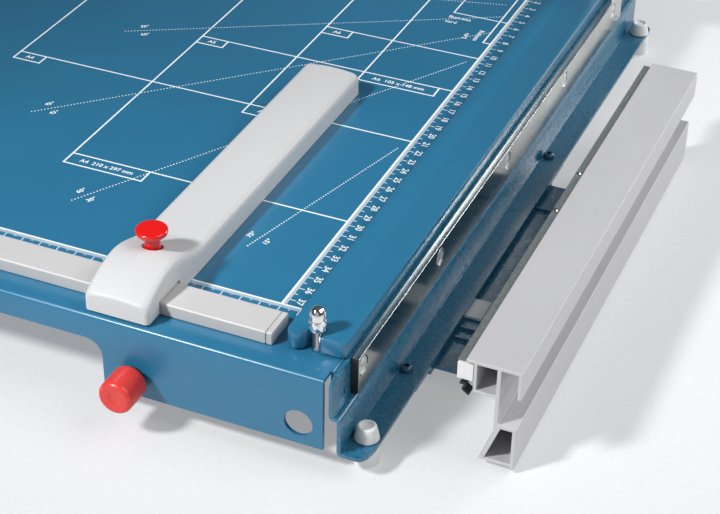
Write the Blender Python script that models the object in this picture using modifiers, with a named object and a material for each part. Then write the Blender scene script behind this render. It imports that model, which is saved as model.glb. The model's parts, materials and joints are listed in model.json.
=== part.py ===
"""Lever paper cutter for office desks: printed steel table, fixed knife with a sprung clamp bar,
lever arm with the upper blade, sliding backstop and a rack-driven stop for narrow strips.

Lengths below are millimetres in the table frame: X runs to the right with the cut edge at 0,
Y runs away from the user with the far stop at 0, Z is up with the printed tabletop at 0.
The helpers turn them into metres under one root empty that stands the cutter on the ground.
"""
import math

import bmesh
import bpy
from mathutils import Euler, Matrix, Vector

MM = 0.001
GAP = 0.3                      # play left between touching pieces
HOLE_PLAY = 0.4                # radial play of a screw in its hole
MERGE = 0.00001
ROUND = 16                     # sides of small round pieces
HOLE_SIDES = 12                # sides of hidden screw holes
FINE = 24                      # sides of large round pieces
FLOOR_Z = -53.5
SHEET = 2.0

# table tray
TRAY_X = (-365.0, -6.3)
TRAY_Y = (-420.5, 75.0)
TRAY_Z = (-40.0, 0.0)
TRAY_FOLD = 2.0
ARCH_X = (-320.0, -122.3)
ARCH_TOP = -13.7
ARCH_R = 8.7
CORNER_RELIEF = ((-8.3, -5.0), (-422.0, -412.0), (-45.0, 2.0))
WALL_RELIEF = ((-8.4, -5.0), (-413.0, -372.0), (-45.0, -10.0))
PORT_AT = (-20.7, -28.1)       # round port in the front wall (x, z)
PORT_R = 7.15

# side rail that carries the knife
RAIL_PATH = [(-5.0, 0.0), (-5.0, -21.3), (-0.9, -21.3), (-0.9, -41.0), (13.3, -41.0)]
RAIL_BEND = 1.5
RAIL_Y = (-419.5, 61.0)
RAIL_CLIP = (5.7, 2.8)
FLANGE_CORNER_NEAR = [(7.2, -421.0), (7.2, -419.5), (8.8, -419.2), (10.3, -418.2), (11.5, -416.6),
                      (12.3, -414.4), (12.9, -411.5), (13.3, -408.0), (16.0, -408.0), (16.0, -421.0)]
FLANGE_CORNER_FAR = [(16.0, 63.0), (16.0, 54.0), (13.3, 54.0), (9.0, 61.0), (9.0, 63.0)]
RAIL_SLOT = ((-8.0, -2.0), (-407.2, -405.6), (-16.0, -12.8))
FLANGE_Z = (-42.0, -40.0)

# left rail under the tray's left wall
LEFT_PATH = [(-361.7, -2.6), (-361.7, -41.0), (-343.0, -41.0)]
LEFT_Y = (-418.0, 72.0)

# knife and its bolts
KNIFE_X = (-3.7, 0.0)
KNIFE_Y = (-399.5, 22.8)
KNIFE_Z = (-19.9, 0.0)
KNIFE_BOLT_Y = (-393.8, -297.0, -196.0, -95.5, 3.0)
KNIFE_BOLT_Z = -7.0
KNIFE_HEAD_R = 4.7
KNIFE_HEAD_X = (-3.7, -0.4)
KNIFE_SHANK_R = 2.4
KNIFE_SHANK_END = -11.5
NUT_FLATS = 8.0

# screws on the flange
FLANGE_SCREW_Y = (-349.0, -129.0)
FLANGE_SCREW_X = 4.0
FLANGE_HEAD_R = 3.4
FLANGE_HEAD_H = 2.6
FLANGE_SHANK_R = 1.7

# clamp bar
CLAMP_X = (-34.5, -4.9)
CLAMP_Y = (-403.4, 20.0)
CLAMP_Z = (1.2, 9.4)
CLAMP_TIP_Y = -405.2
CLAMP_NOTCH_X = (-25.2, -17.3)
CLAMP_NOTCH_END = (-393.4, 10.0)
CLAMP_EDGE = 0.7
CLAMP_CORNER = 3.0
CLAMP_SPRING_AT = ((-12.0, -376.0), (-12.0, -8.0))
CLAMP_BORE_R = 3.6
CLAMP_BORE_TOP = 6.9
CLAMP_PLAY = 1.2              # room over a spring, so that the clamp can come down on it
SPRING_R = 2.5
SPRING_WIRE_R = 0.35
STUD_AT = ((-20.5, -399.5), (-20.5, 16.1))
STUD_R = 2.5
STUD_Z = (-5.6, 19.2)
STUD_HEAD_R = 4.4
STUD_HEAD_H = 3.0
ACORN_Z = (11.5, 16.4, 19.6, 23.5)
ACORN_R = 3.85

# near rail, far fence and their caps
NEAR_RAIL_Y = (-406.5, -388.3)
NEAR_RAIL_Z = (0.3, 7.0)
NEAR_RAIL_X = (-358.0, -43.6)
FENCE_Y = (0.3, 12.3)
FENCE_Z = (0.3, 8.3)
FENCE_X = (-358.0, -43.6)
CAP_LENGTH = 3.0
BOX_WALL = 1.5
BOX_EDGE = 0.6

# backstop
STOP_X = (-131.3, -97.5)
STOP_Y = (-418.5, -172.3)
STOP_TOP = 12.7
STOP_HUMP = 20.3
STOP_RISE_Y = (-359.5, -391.5)
STOP_BROW_Z = 11.0
STOP_CROWN = 0.9
STOP_EDGE = 4.3
STOP_CORNER = 2.4
STOP_FAR_EDGE = 1.8
STOP_BELOW = -10.0
STOP_UNDERSIDE = [(-440.0, -20.0), (-440.0, 1.5), (-407.0, 1.5), (-407.0, 7.5), (-387.8, 7.5),
                  (-387.8, 0.3), (-160.0, 0.3), (-160.0, -20.0)]
BUTTON_AT = (-113.7, -383.0)
BUTTON_HOLE_R = 4.4
BUTTON_RECESS = (5.35, 15.6)
BUTTON_WELL = (6.5, 14.0)
BUTTON_PROFILE = [(0.0, 30.1), (6.9, 30.1), (7.9, 29.2), (7.7, 27.6), (6.9, 26.8), (4.6, 26.0),
                  (3.9, 24.6), (4.0, 13.7), (5.9, 13.7), (5.9, 11.0), (0.0, 11.0)]
SHOE = ((-116.9, -110.5), (-388.0, -385.9), (5.4, 10.7))
BUTTON_SPRING_Z = (2.6, 7.7)      # as short as it is with the button pressed
BUTTON_SPRING_R = 2.0
SPRING_PLATE_R = 4.9
SPRING_PLATE_Z = (0.6, 2.3)

# narrow-strip stop and its carriage
KNOB_AT = (-105.4, -28.4)
KNOB_R = 8.85
KNOB_Y = (-440.3, -424.0)
KNOB_EDGE = 2.0
SHAFT_R = 3.0
SHAFT_Y = (-434.6, -146.0)
BUSH_FLANGE = ((5.6, -423.7, -420.8), (4.4, -420.8, -416.0))
MODULE = 1.5
PINION_TEETH = 14
PINION_Y = (-318.5, -310.5)
RACK_Y = (-319.5, -309.5)
RACK_TEETH_LEFT = 13
RACK_TEETH_RIGHT = 9
RACK_BOTTOM = -44.0
PLATE_X = (-176.0, 55.0)
PLATE_Y = (-335.0, -151.5)
PLATE_Z = (-46.3, -44.3)
RIB_Y = (-310.0, -301.0, -179.0)
RIB_X = (14.0, 50.0)
RIB_TOP = -42.6
RIB_WIDTH = 1.6
BEAM_X = (-342.5, -10.0)
GUIDE_LIP = 8.0
GUIDE_SLOT_Z = (-46.6, -44.0)
GUIDE_Z = (-48.1, -42.3)
GUIDE_BACK = 1.2
SHOE_TAB = 20.0
SHOE_X = (-16.0, 12.8)
PAD = ((-3.0, 22.0), (-292.0, -276.0), (-44.0, -42.3))
BRACKET_OUTLINE = [(36.0, -44.0), (55.6, -44.0), (55.6, -26.0), (60.7, -26.0), (60.7, -13.0),
                   (53.6, -13.0), (53.6, -42.6), (36.0, -42.6)]
BRACKET_Y = (-270.0, -190.0)
PROFILE_Y = (-385.5, -77.0)
PROFILE_OUTLINE = [(46.1, 5.4), (73.1, 5.4), (73.1, -9.8), (71.2, -9.8), (71.2, 3.7), (63.0, 3.7),
                   (63.0, -27.0), (72.1, -27.0), (72.1, -51.4), (70.2, -51.4), (70.2, -49.6),
                   (55.0, -49.6), (55.0, -48.0), (55.6, -48.0), (61.0, -32.8), (61.0, -12.2),
                   (50.0, -12.2), (50.0, 3.7), (46.1, 3.7)]
PROFILE_CELLS = [[(51.6, -10.6), (61.0, -10.6), (61.0, 3.7), (51.6, 3.7)],
                 [(64.5, -29.0), (70.2, -29.0), (70.2, -48.0), (57.7, -48.0)]]
INSERT = ((42.0, 49.7), (-385.2, -77.3), (-6.5, 2.6))
STRIP = ((41.8, 45.8), (-384.0, -78.5), (2.9, 3.9))
STRIP_SCREW_Y = (-249.0, -210.0)
STRIP_SCREW_X = 43.6
STRIP_SCREW = (1.7, 4.2, 5.1)
CLIP_PATH = [(44.0, -7.6), (48.6, -7.6), (45.0, -10.4), (48.8, -13.2)]
CLIP_Y = (-387.0, -381.0)

# feet
FOOT_AT = ((6.6, -404.0), (8.2, 45.5), (-351.5, -404.0), (-351.5, 45.5))
FOOT_CONE = (6.15, 4.65, 7.3)
FOOT_R = 6.5
FOOT_NECK_R = 2.5

# lever arm, drawn closed and raised by turning its empty about the pivot
PIVOT = (0.0, 43.0, 16.0)
ARM_RAISED_DEG = 58.0
ARM_X = (4.6, 14.0)
HUB_X = (-2.9, 9.0)
HUB_R = 15.0
PIVOT_R = 6.0
PIVOT_PLAY = 0.15
ARM_EDGE = 1.0
ARM_NEAR_Y = -408.0
ARM_LOWER_Z = 8.0
ARM_UPPER_Z = (34.0, 28.0)
TANG = ((5.6, 13.0), (-498.0, -402.0), (13.5, 22.5))
BLADE_X = (0.3, 4.3)
BLADE_Y = (-406.0, 24.0)
BLADE_TOP_Z = (30.0, 25.0)
BLADE_EDGE_Z = (-3.0, -11.0)
BLADE_BELLY = 5.0
BLADE_GRIND = 2.6
BLADE_SCREW_Y = (-370.0, -190.0, -10.0)
BLADE_SCREW_Z = 17.0
BLADE_SCREW_R = (4.5, 3.0)
BLADE_SCREW_X = (0.9, 14.3, 17.2)
GRIP_Y = (-515.0, -410.0)
GRIP_R = 14.0
GRIP_CENTRE = (9.3, 18.0)

# pivot bracket at the far end of the table
BRACKET_FOOT = ((-62.0, -5.0), (24.0, 62.0), (0.3, 6.3))
EAR_X = (-14.0, -5.0)
EAR_R = 18.0
BRACKET_BOLT_AT = ((-46.0, 32.0), (-46.0, 54.0))
BRACKET_BOLT_R = (5.0, 3.0)
BRACKET_BOLT_Z = (-7.0, 6.6, 10.6)
WASHER_R = 12.0
WASHER_X = (-4.7, -3.2)
PIVOT_HEAD_X = (14.3, 19.2)
PIVOT_HEAD_R = 11.0
PIVOT_NUT_X = (-19.6, -14.3)
PIVOT_NUT_FLATS = 19.0
PIVOT_END = -21.5

ORIGIN = Vector(((TRAY_X[0] + PROFILE_OUTLINE[1][0]) / 2, (KNOB_Y[0] + TRAY_Y[1]) / 2, FLOOR_Z))

PAINTS = {                     # colour, roughness, metallic
    "table_blue": ((0.026, 0.16, 0.29), 0.38, 0.0),
    "rail_blue": ((0.04, 0.2, 0.33), 0.34, 0.0),
    "clamp_blue": ((0.035, 0.18, 0.31), 0.42, 0.0),
    "blade_steel": ((0.62, 0.64, 0.66), 0.28, 1.0),
    "bright_steel": ((0.75, 0.76, 0.78), 0.15, 1.0),
    "zinc_steel": ((0.55, 0.56, 0.57), 0.35, 1.0),
    "aluminium": ((0.66, 0.66, 0.68), 0.36, 1.0),
    "cast_aluminium": ((0.5, 0.51, 0.53), 0.45, 1.0),
    "rail_grey": ((0.62, 0.6, 0.57), 0.45, 0.0),
    "stop_grey": ((0.68, 0.69, 0.7), 0.5, 0.0),
    "red": ((0.75, 0.012, 0.012), 0.22, 0.0),
    "white": ((0.82, 0.82, 0.8), 0.4, 0.0),
    "black": ((0.02, 0.02, 0.022), 0.5, 0.0),
    "strip_grey": ((0.09, 0.11, 0.11), 0.5, 0.0),
    "foot_grey": ((0.5, 0.54, 0.52), 0.6, 0.0),
    "rubber": ((0.03, 0.03, 0.03), 0.8, 0.0),
}


def clear_scene():
    for obj in list(bpy.data.objects):
        bpy.data.objects.remove(obj, do_unlink=True)


def make_collection(name):
    group = bpy.data.collections.new(name)
    bpy.context.scene.collection.children.link(group)
    return group


def make_material(name, spec):
    colour, roughness, metallic = spec
    mat = bpy.data.materials.new(name)
    mat.use_nodes = True
    shader = mat.node_tree.nodes["Principled BSDF"]
    shader.inputs["Base Color"].default_value = (*colour, 1.0)
    shader.inputs["Roughness"].default_value = roughness
    shader.inputs["Metallic"].default_value = metallic
    mat.diffuse_color = (*colour, 1.0)
    return mat


clear_scene()
PARTS = make_collection("paper_cutter")
CUTTERS = make_collection("cutters")


def make_empty(name, at, parent=None, turn_x=0.0):
    empty = bpy.data.objects.new(name, None)
    PARTS.objects.link(empty)
    base = Vector(parent["table_at"]) if parent else ORIGIN
    empty.parent = parent
    empty.location = (Vector(at) - base) * MM
    empty.rotation_euler = Euler((turn_x, 0.0, 0.0))
    empty["table_at"] = list(at)
    return empty


ROOT = make_empty("cutter_root", (0.0, 0.0, 0.0))
CLAMP = make_empty("clamp_slide", (CLAMP_X[0], CLAMP_Y[0], CLAMP_Z[0]), ROOT)
BACKSTOP = make_empty("backstop_slide", (BUTTON_AT[0], NEAR_RAIL_Y[0], NEAR_RAIL_Z[1]), ROOT)
BUTTON = make_empty("button_press", (*BUTTON_AT, STOP_TOP), BACKSTOP)
CARRIAGE = make_empty("carriage_slide", (PLATE_X[1], PLATE_Y[0], PLATE_Z[1]), ROOT)
KNOB = make_empty("knob_axis", (KNOB_AT[0], KNOB_Y[0], KNOB_AT[1]), ROOT)
ARM = make_empty("arm_pivot", PIVOT, ROOT, -math.radians(ARM_RAISED_DEG))


def add_object(name, mesh, paint, parent, at):
    """Object whose mesh is local to the table point `at`; a paint of None makes a cutter."""
    obj = bpy.data.objects.new(name, mesh)
    if paint is None:
        CUTTERS.objects.link(obj)
        obj.hide_render = True
        obj.display_type = "WIRE"
    else:
        PARTS.objects.link(obj)
        mesh.materials.clear()
        mesh.materials.append(make_material(name, PAINTS[paint]))
    obj.parent = parent
    obj.location = (Vector(at) - Vector(parent["table_at"])) * MM
    return obj


def middle(*ranges):
    return tuple((low + high) / 2 for low, high in ranges)


def box_mesh(name, ranges):
    """Box centred on its own origin."""
    mesh = bpy.data.meshes.new(name)
    bm = bmesh.new()
    bmesh.ops.create_cube(bm, size=1.0)
    bmesh.ops.scale(bm, vec=[(high - low) * MM for low, high in ranges], verts=bm.verts)
    bm.to_mesh(mesh)
    bm.free()
    return mesh


def box(name, ranges, paint=None, parent=ROOT):
    return add_object(name, box_mesh(name, ranges), paint, parent, middle(*ranges))


def bevel_edges(obj, width, segments, pick):
    """Bevel modifier on the edges whose two ends pass the pick test, in table directions."""
    mesh = obj.data
    weights = mesh.attributes.new("bevel_weight_edge", "FLOAT", "EDGE")
    for edge in mesh.edges:
        ends = [mesh.vertices[index].co / MM for index in edge.vertices]
        weights.data[edge.index].value = 1.0 if pick(*ends) else 0.0
    bevel = obj.modifiers.new("edge_bevel", "BEVEL")
    bevel.limit_method = "WEIGHT"
    bevel.width = width * MM
    bevel.segments = segments
    return obj


def soften(obj, width, segments=2, degrees=40.0):
    bevel = obj.modifiers.new("soft_edges", "BEVEL")
    bevel.width = width * MM
    bevel.segments = segments
    bevel.limit_method = "ANGLE"
    bevel.angle_limit = math.radians(degrees)
    return obj


def evaluated_mesh(obj):
    bpy.context.view_layer.update()
    graph = bpy.context.evaluated_depsgraph_get()
    mesh = bpy.data.meshes.new_from_object(obj.evaluated_get(graph))
    bm = bmesh.new()
    bm.from_mesh(mesh)
    bmesh.ops.remove_doubles(bm, verts=bm.verts, dist=MERGE)
    bmesh.ops.recalc_face_normals(bm, faces=bm.faces)
    bm.to_mesh(mesh)
    bm.free()
    return mesh


PLANE_TURN = {                 # local x, y and z of a drawn outline in table directions
    "XY": Matrix(((1, 0, 0), (0, 1, 0), (0, 0, 1))).to_4x4(),
    "YZ": Matrix(((0, 0, 1), (1, 0, 0), (0, 1, 0))).to_4x4(),
    "XZ": Matrix(((1, 0, 0), (0, 0, -1), (0, 1, 0))).to_4x4(),
}
PLANE_AXES = {"XY": (0, 1, 2), "YZ": (1, 2, 0), "XZ": (0, 2, 1)}


def outline_mesh(name, loops, depth, plane):
    """Flat outline, holes included, filled and extruded by half its thickness each way."""
    curve = bpy.data.curves.new(name, "CURVE")
    curve.dimensions = "2D"
    curve.fill_mode = "BOTH"
    curve.extrude = depth * MM / 2
    for loop in loops:
        spline = curve.splines.new("POLY")
        spline.points.add(len(loop) - 1)
        for point, (u, v) in zip(spline.points, loop):
            point.co = (u * MM, v * MM, 0.0, 1.0)
        spline.use_cyclic_u = True
    obj = bpy.data.objects.new(name, curve)
    CUTTERS.objects.link(obj)
    mesh = evaluated_mesh(obj)
    bpy.data.objects.remove(obj, do_unlink=True)
    mesh.transform(PLANE_TURN[plane])
    return mesh


def prism(name, loops, span, plane, paint=None, parent=ROOT):
    """Extruded outline: loops are drawn in the plane and span runs along the third axis."""
    u_axis, v_axis, w_axis = PLANE_AXES[plane]
    at = [0.0, 0.0, 0.0]
    at[u_axis], at[v_axis] = loops[0][0]
    at[w_axis] = (span[0] + span[1]) / 2
    local = [[(u - at[u_axis], v - at[v_axis]) for u, v in loop] for loop in loops]
    mesh = outline_mesh(name, local, span[1] - span[0], plane)
    return add_object(name, mesh, paint, parent, at)


def turned_mesh(name, profile, sides):
    """Profile of (radius, height) pairs, running down its outer side, swept about Z."""
    mesh = bpy.data.meshes.new(name)
    bm = bmesh.new()
    verts = [bm.verts.new((radius * MM, 0.0, height * MM)) for radius, height in profile]
    for upper, lower in zip(verts, verts[1:]):
        bm.edges.new((upper, lower))
    bm.to_mesh(mesh)
    bm.free()
    obj = bpy.data.objects.new(name, mesh)
    CUTTERS.objects.link(obj)
    screw = obj.modifiers.new("turn", "SCREW")
    screw.axis = "Z"
    screw.angle = math.tau
    screw.steps = sides
    screw.render_steps = sides
    screw.use_merge_vertices = True
    screw.merge_threshold = MERGE
    result = evaluated_mesh(obj)
    bpy.data.objects.remove(obj, do_unlink=True)
    return result


AXIS_TURN = {                  # turns a piece drawn along +Z so that it points this way
    "+Z": Matrix.Identity(4),
    "+X": Matrix.Rotation(math.pi / 2, 4, "Y"),
    "-X": Matrix.Rotation(-math.pi / 2, 4, "Y"),
    "-Y": Matrix.Rotation(math.pi / 2, 4, "X"),
    "+Y": Matrix.Rotation(-math.pi / 2, 4, "X"),
}


def smooth(mesh, degrees=35.0):
    mesh.shade_smooth()
    mesh.set_sharp_from_angle(angle=math.radians(degrees))
    return mesh


def turned(name, profile, axis, at, paint=None, parent=ROOT, sides=ROUND):
    mesh = turned_mesh(name, profile, sides)
    mesh.transform(AXIS_TURN[axis])
    return add_object(name, smooth(mesh), paint, parent, at)


def rod_profile(radius, low, high):
    return [(0.0, high), (radius, high), (radius, low), (0.0, low)]


def ring_profile(outer, inner, low, high):
    return [(inner, high), (outer, high), (outer, low), (inner, low), (inner, high)]


def repeat(name, mesh, places, paint, parent=ROOT):
    """Identical pieces numbered from 1, one object each on a shared mesh."""
    smooth(mesh)
    return [add_object(f"{name}_{number}", mesh, paint, parent, place)
            for number, place in enumerate(places, 1)]


def cut(obj, cutter):
    boolean = obj.modifiers.new("cut_" + cutter.name, "BOOLEAN")
    boolean.operation = "DIFFERENCE"
    boolean.object = cutter
    return obj


def fuse(obj, other):
    boolean = obj.modifiers.new("join_" + other.name, "BOOLEAN")
    boolean.operation = "UNION"
    boolean.object = other
    return obj


def drill(obj, axis, places, radius, span, parent=ROOT, sides=HOLE_SIDES):
    """Round holes along an axis; each place gives the table point, span the hole's ends."""
    mesh = turned_mesh("drill", rod_profile(radius, *span), sides)
    mesh.transform(AXIS_TURN[axis])
    for number, place in enumerate(places):
        cutter = add_object(f"{obj.name}_hole_{axis}_{radius:.1f}_{number}", mesh, None, parent, place)
        cut(obj, cutter)
    return obj


def arc(centre, radius, start, end, steps):
    """Points on a circle; the angles are in degrees."""
    points = []
    for step in range(steps + 1):
        angle = math.radians(start + (end - start) * step / steps)
        points.append((centre[0] + radius * math.cos(angle), centre[1] + radius * math.sin(angle)))
    return points


def bend_path(points, radius, steps=3):
    """Polyline with every inner corner replaced by an arc; gives points with their headings."""
    path = []
    for index, point in enumerate(points):
        here = Vector(point)
        if index in (0, len(points) - 1):
            other = Vector(points[1] if index == 0 else points[-2])
            heading = (other - here) if index == 0 else (here - other)
            path.append((here, heading.normalized()))
            continue
        into = (here - Vector(points[index - 1])).normalized()
        out = (Vector(points[index + 1]) - here).normalized()
        turn = math.atan2(into.x * out.y - into.y * out.x, into.dot(out))
        reach = radius * math.tan(abs(turn) / 2)
        side = math.copysign(1.0, turn)
        centre = here - into * reach + Vector((-into.y, into.x)) * radius * side
        for step in range(steps + 1):
            heading = Matrix.Rotation(turn * step / steps, 2) @ into
            path.append((centre - Vector((-heading.y, heading.x)) * radius * side, heading))
    return path


def bent_sheet(points, radius, thickness):
    """Closed outline of a folded sheet from the middle line of its section."""
    path = bend_path(points, radius)
    left = [p + Vector((-h.y, h.x)) * thickness / 2 for p, h in path]
    right = [p - Vector((-h.y, h.x)) * thickness / 2 for p, h in path]
    return [tuple(p) for p in left + right[::-1]]


def hexagon(flats):
    return arc((0.0, 0.0), flats / math.sqrt(3.0), 0.0, 300.0, 5)


def circle(radius, sides=ROUND):
    return arc((0.0, 0.0), radius, 0.0, 360.0 * (sides - 1) / sides, sides - 1)


def coil_mesh(name, radius, wire, z_range, turns):
    """Open coil spring about Z with its flat ends pulled in by the wire's radius."""
    curve = bpy.data.curves.new(name, "CURVE")
    curve.dimensions = "3D"
    curve.bevel_depth = wire * MM
    curve.bevel_resolution = 1
    curve.use_fill_caps = True
    count = turns * 9
    spline = curve.splines.new("POLY")
    spline.points.add(count)
    low, high = z_range[0] + wire, z_range[1] - wire
    for index, point in enumerate(spline.points):
        angle = math.tau * turns * index / count
        height = low + (high - low) * index / count
        point.co = (radius * MM * math.cos(angle), radius * MM * math.sin(angle), height * MM, 1.0)
    obj = bpy.data.objects.new(name, curve)
    CUTTERS.objects.link(obj)
    mesh = evaluated_mesh(obj)
    bpy.data.objects.remove(obj, do_unlink=True)
    return mesh


# ------------------------------------------------------------------ base

def arch_outline():
    left, right = ARCH_X
    top = ARCH_TOP
    below = TRAY_Z[0] * 1.5
    return ([(left, below), (right, below)]
            + arc((right - ARCH_R, top - ARCH_R), ARCH_R, 0.0, 90.0, 5)
            + arc((left + ARCH_R, top - ARCH_R), ARCH_R, 90.0, 180.0, 5))


def make_tray():
    tray = box("base_tray", (TRAY_X, TRAY_Y, TRAY_Z), "table_blue")
    half = [(high - low) / 2 for low, high in (TRAY_X, TRAY_Y, TRAY_Z)]

    def is_fold(a, b):
        on_top = a.z > 0 and b.z > 0
        left_upright = a.x < 0 and b.x < 0 and abs(a.z - b.z) > half[2]
        return on_top or left_upright

    bevel_edges(tray, TRAY_FOLD, 3, is_fold)
    inner = [(TRAY_X[0] + SHEET, TRAY_X[1] - SHEET), (TRAY_Y[0] + SHEET, TRAY_Y[1] - SHEET),
             (TRAY_Z[0] * 2, -SHEET)]
    cut(tray, box("tray_hollow", inner))
    cut(tray, prism("tray_arch", [arch_outline()], (TRAY_Y[0] - SHEET, TRAY_Y[1] + SHEET), "XZ"))
    cut(tray, box("tray_corner_relief", CORNER_RELIEF))
    cut(tray, box("tray_wall_relief", WALL_RELIEF))
    wall = (-SHEET * 2, SHEET * 2)
    drill(tray, "-Y", [(PORT_AT[0], TRAY_Y[0] + 1, PORT_AT[1])], PORT_R, wall, sides=FINE)
    drill(tray, "-Y", [(KNOB_AT[0], TRAY_Y[0] + 1, KNOB_AT[1])], BUSH_FLANGE[1][0] + GAP, wall)
    drill(tray, "+X", [(TRAY_X[1] - 1, y, KNIFE_BOLT_Z) for y in KNIFE_BOLT_Y],
          KNIFE_SHANK_R + HOLE_PLAY, wall)
    drill(tray, "+Z", [(*at, -1) for at in STUD_AT], STUD_R + HOLE_PLAY, wall)
    drill(tray, "+Z", [(*at, -1) for at in BRACKET_BOLT_AT], BRACKET_BOLT_R[1] + HOLE_PLAY, wall)


def make_side_rail():
    rail = prism("side_rail", [bent_sheet(RAIL_PATH, RAIL_BEND, SHEET)], RAIL_Y, "XZ", "rail_blue")
    for name, corner in (("near", FLANGE_CORNER_NEAR), ("far", FLANGE_CORNER_FAR)):
        cut(rail, prism(f"rail_corner_{name}", [corner], (FLANGE_Z[0] - 2, FLANGE_Z[1] + 2), "XY"))
    clip_y, clip_z = RAIL_CLIP
    clip = [(RAIL_Y[0] - 1, -clip_z), (RAIL_Y[0], -clip_z), (RAIL_Y[0] + clip_y, 0.0),
            (RAIL_Y[0] + clip_y, 1.0), (RAIL_Y[0] - 1, 1.0)]
    cut(rail, prism("rail_top_clip", [clip], (-8.0, -3.0), "YZ"))
    cut(rail, box("rail_slot", RAIL_SLOT))
    drill(rail, "+X", [(-5.0, y, KNIFE_BOLT_Z) for y in KNIFE_BOLT_Y],
          KNIFE_SHANK_R + HOLE_PLAY, (-SHEET, SHEET))
    drill(rail, "+Z", [(FLANGE_SCREW_X, y, -41.0) for y in FLANGE_SCREW_Y],
          FLANGE_SHANK_R + HOLE_PLAY, (-SHEET, SHEET))
    drill(rail, "+Z", [(*at, -41.0) for at in FOOT_AT[:2]], FOOT_NECK_R + HOLE_PLAY, (-SHEET, SHEET))


def make_left_rail():
    rail = prism("left_rail", [bent_sheet(LEFT_PATH, RAIL_BEND, SHEET)], LEFT_Y, "XZ", "rail_blue")
    drill(rail, "+Z", [(*at, -41.0) for at in FOOT_AT[2:]], FOOT_NECK_R + HOLE_PLAY, (-SHEET, SHEET))


def make_feet():
    base, top, height = FOOT_CONE
    upper, lower = FLANGE_Z[1] + GAP, FLANGE_Z[0] - GAP
    profile = [(0.0, upper + height), (top - 1.0, upper + height), (top, upper + height - 0.8),
               (base, upper), (FOOT_NECK_R, upper), (FOOT_NECK_R, lower), (FOOT_R, lower),
               (FOOT_R, FLOOR_Z + 1.0), (FOOT_R - 1.0, FLOOR_Z), (0.0, FLOOR_Z)]
    mesh = turned_mesh("foot", profile, ROUND)
    repeat("foot", mesh, [(x, y, 0.0) for x, y in FOOT_AT], "foot_grey")


# ------------------------------------------------------------------ knife

def make_knife():
    knife = box("knife", (KNIFE_X, KNIFE_Y, KNIFE_Z), "blade_steel")
    drill(knife, "+X", [(-1.8, y, KNIFE_BOLT_Z) for y in KNIFE_BOLT_Y], KNIFE_HEAD_R + GAP, (-4, 4),
          sides=ROUND)
    back, front = KNIFE_HEAD_X
    bolt = [(0.0, front), (KNIFE_HEAD_R - 0.5, front), (KNIFE_HEAD_R, front - 0.5),
            (KNIFE_HEAD_R, back), (KNIFE_SHANK_R, back), (KNIFE_SHANK_R, KNIFE_SHANK_END),
            (0.0, KNIFE_SHANK_END)]
    mesh = turned_mesh("knife_bolt", bolt, ROUND)
    mesh.transform(AXIS_TURN["+X"])
    repeat("knife_bolt", mesh, [(0.0, y, KNIFE_BOLT_Z) for y in KNIFE_BOLT_Y], "bright_steel")


def make_flange_screws():
    rise = FLANGE_HEAD_H
    profile = [(0.0, rise), (1.6, rise), (2.7, rise - 0.6), (FLANGE_HEAD_R, 0.5),
               (FLANGE_HEAD_R, 0.0), (FLANGE_SHANK_R, 0.0), (FLANGE_SHANK_R, -4.2), (0.0, -4.2)]
    mesh = turned_mesh("flange_screw", profile, ROUND)
    seat = FLANGE_Z[1] + GAP
    repeat("flange_screw", mesh, [(FLANGE_SCREW_X, y, seat) for y in FLANGE_SCREW_Y], "rail_blue")


# ------------------------------------------------------------------ clamp

def clamp_outline():
    left, right = CLAMP_X
    near, far = CLAMP_Y
    notch_left, notch_right = CLAMP_NOTCH_X
    notch_r = (notch_right - notch_left) / 2
    notch_x = (notch_left + notch_right) / 2
    tip_r = (notch_left - left) / 2
    tip = (left + tip_r, CLAMP_TIP_Y + tip_r)
    near_bottom, far_bottom = CLAMP_NOTCH_END
    corner = CLAMP_CORNER
    return (arc((right - corner, near + corner), corner, -90.0, 0.0, 4)
            + arc((right - corner, far - corner), corner, 0.0, 90.0, 4) + [(notch_right, far)]
            + arc((notch_x, far_bottom + notch_r), notch_r, 0.0, -180.0, 8)
            + [(notch_left, far), (left, far)]
            + arc(tip, tip_r, 180.0, 360.0, 8)
            + arc((notch_x, near_bottom - notch_r), notch_r, 180.0, 0.0, 8)
            + [(notch_right, near)])


def make_clamp():
    bar = prism("clamp_bar", [clamp_outline()], CLAMP_Z, "XY", "clamp_blue", CLAMP)
    soften(bar, CLAMP_EDGE)
    spring_top = CLAMP_BORE_TOP
    drill(bar, "+Z", [(*at, 0.0) for at in CLAMP_SPRING_AT], CLAMP_BORE_R, (-1.0, spring_top), CLAMP)
    spring = coil_mesh("clamp_spring", SPRING_R, SPRING_WIRE_R, (GAP, spring_top - CLAMP_PLAY), 3)
    repeat("clamp_spring", spring, [(*at, 0.0) for at in CLAMP_SPRING_AT], "bright_steel")
    low, high = STUD_Z
    head = low + STUD_HEAD_H
    profile = [(0.0, high), (STUD_R - 0.4, high), (STUD_R, high - 0.4), (STUD_R, head),
               (STUD_HEAD_R, head), (STUD_HEAD_R, low), (0.0, low)]
    mesh = turned_mesh("clamp_stud", profile, ROUND)
    repeat("clamp_stud", mesh, [(*at, 0.0) for at in STUD_AT], "zinc_steel")
    make_acorn_nuts()


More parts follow.
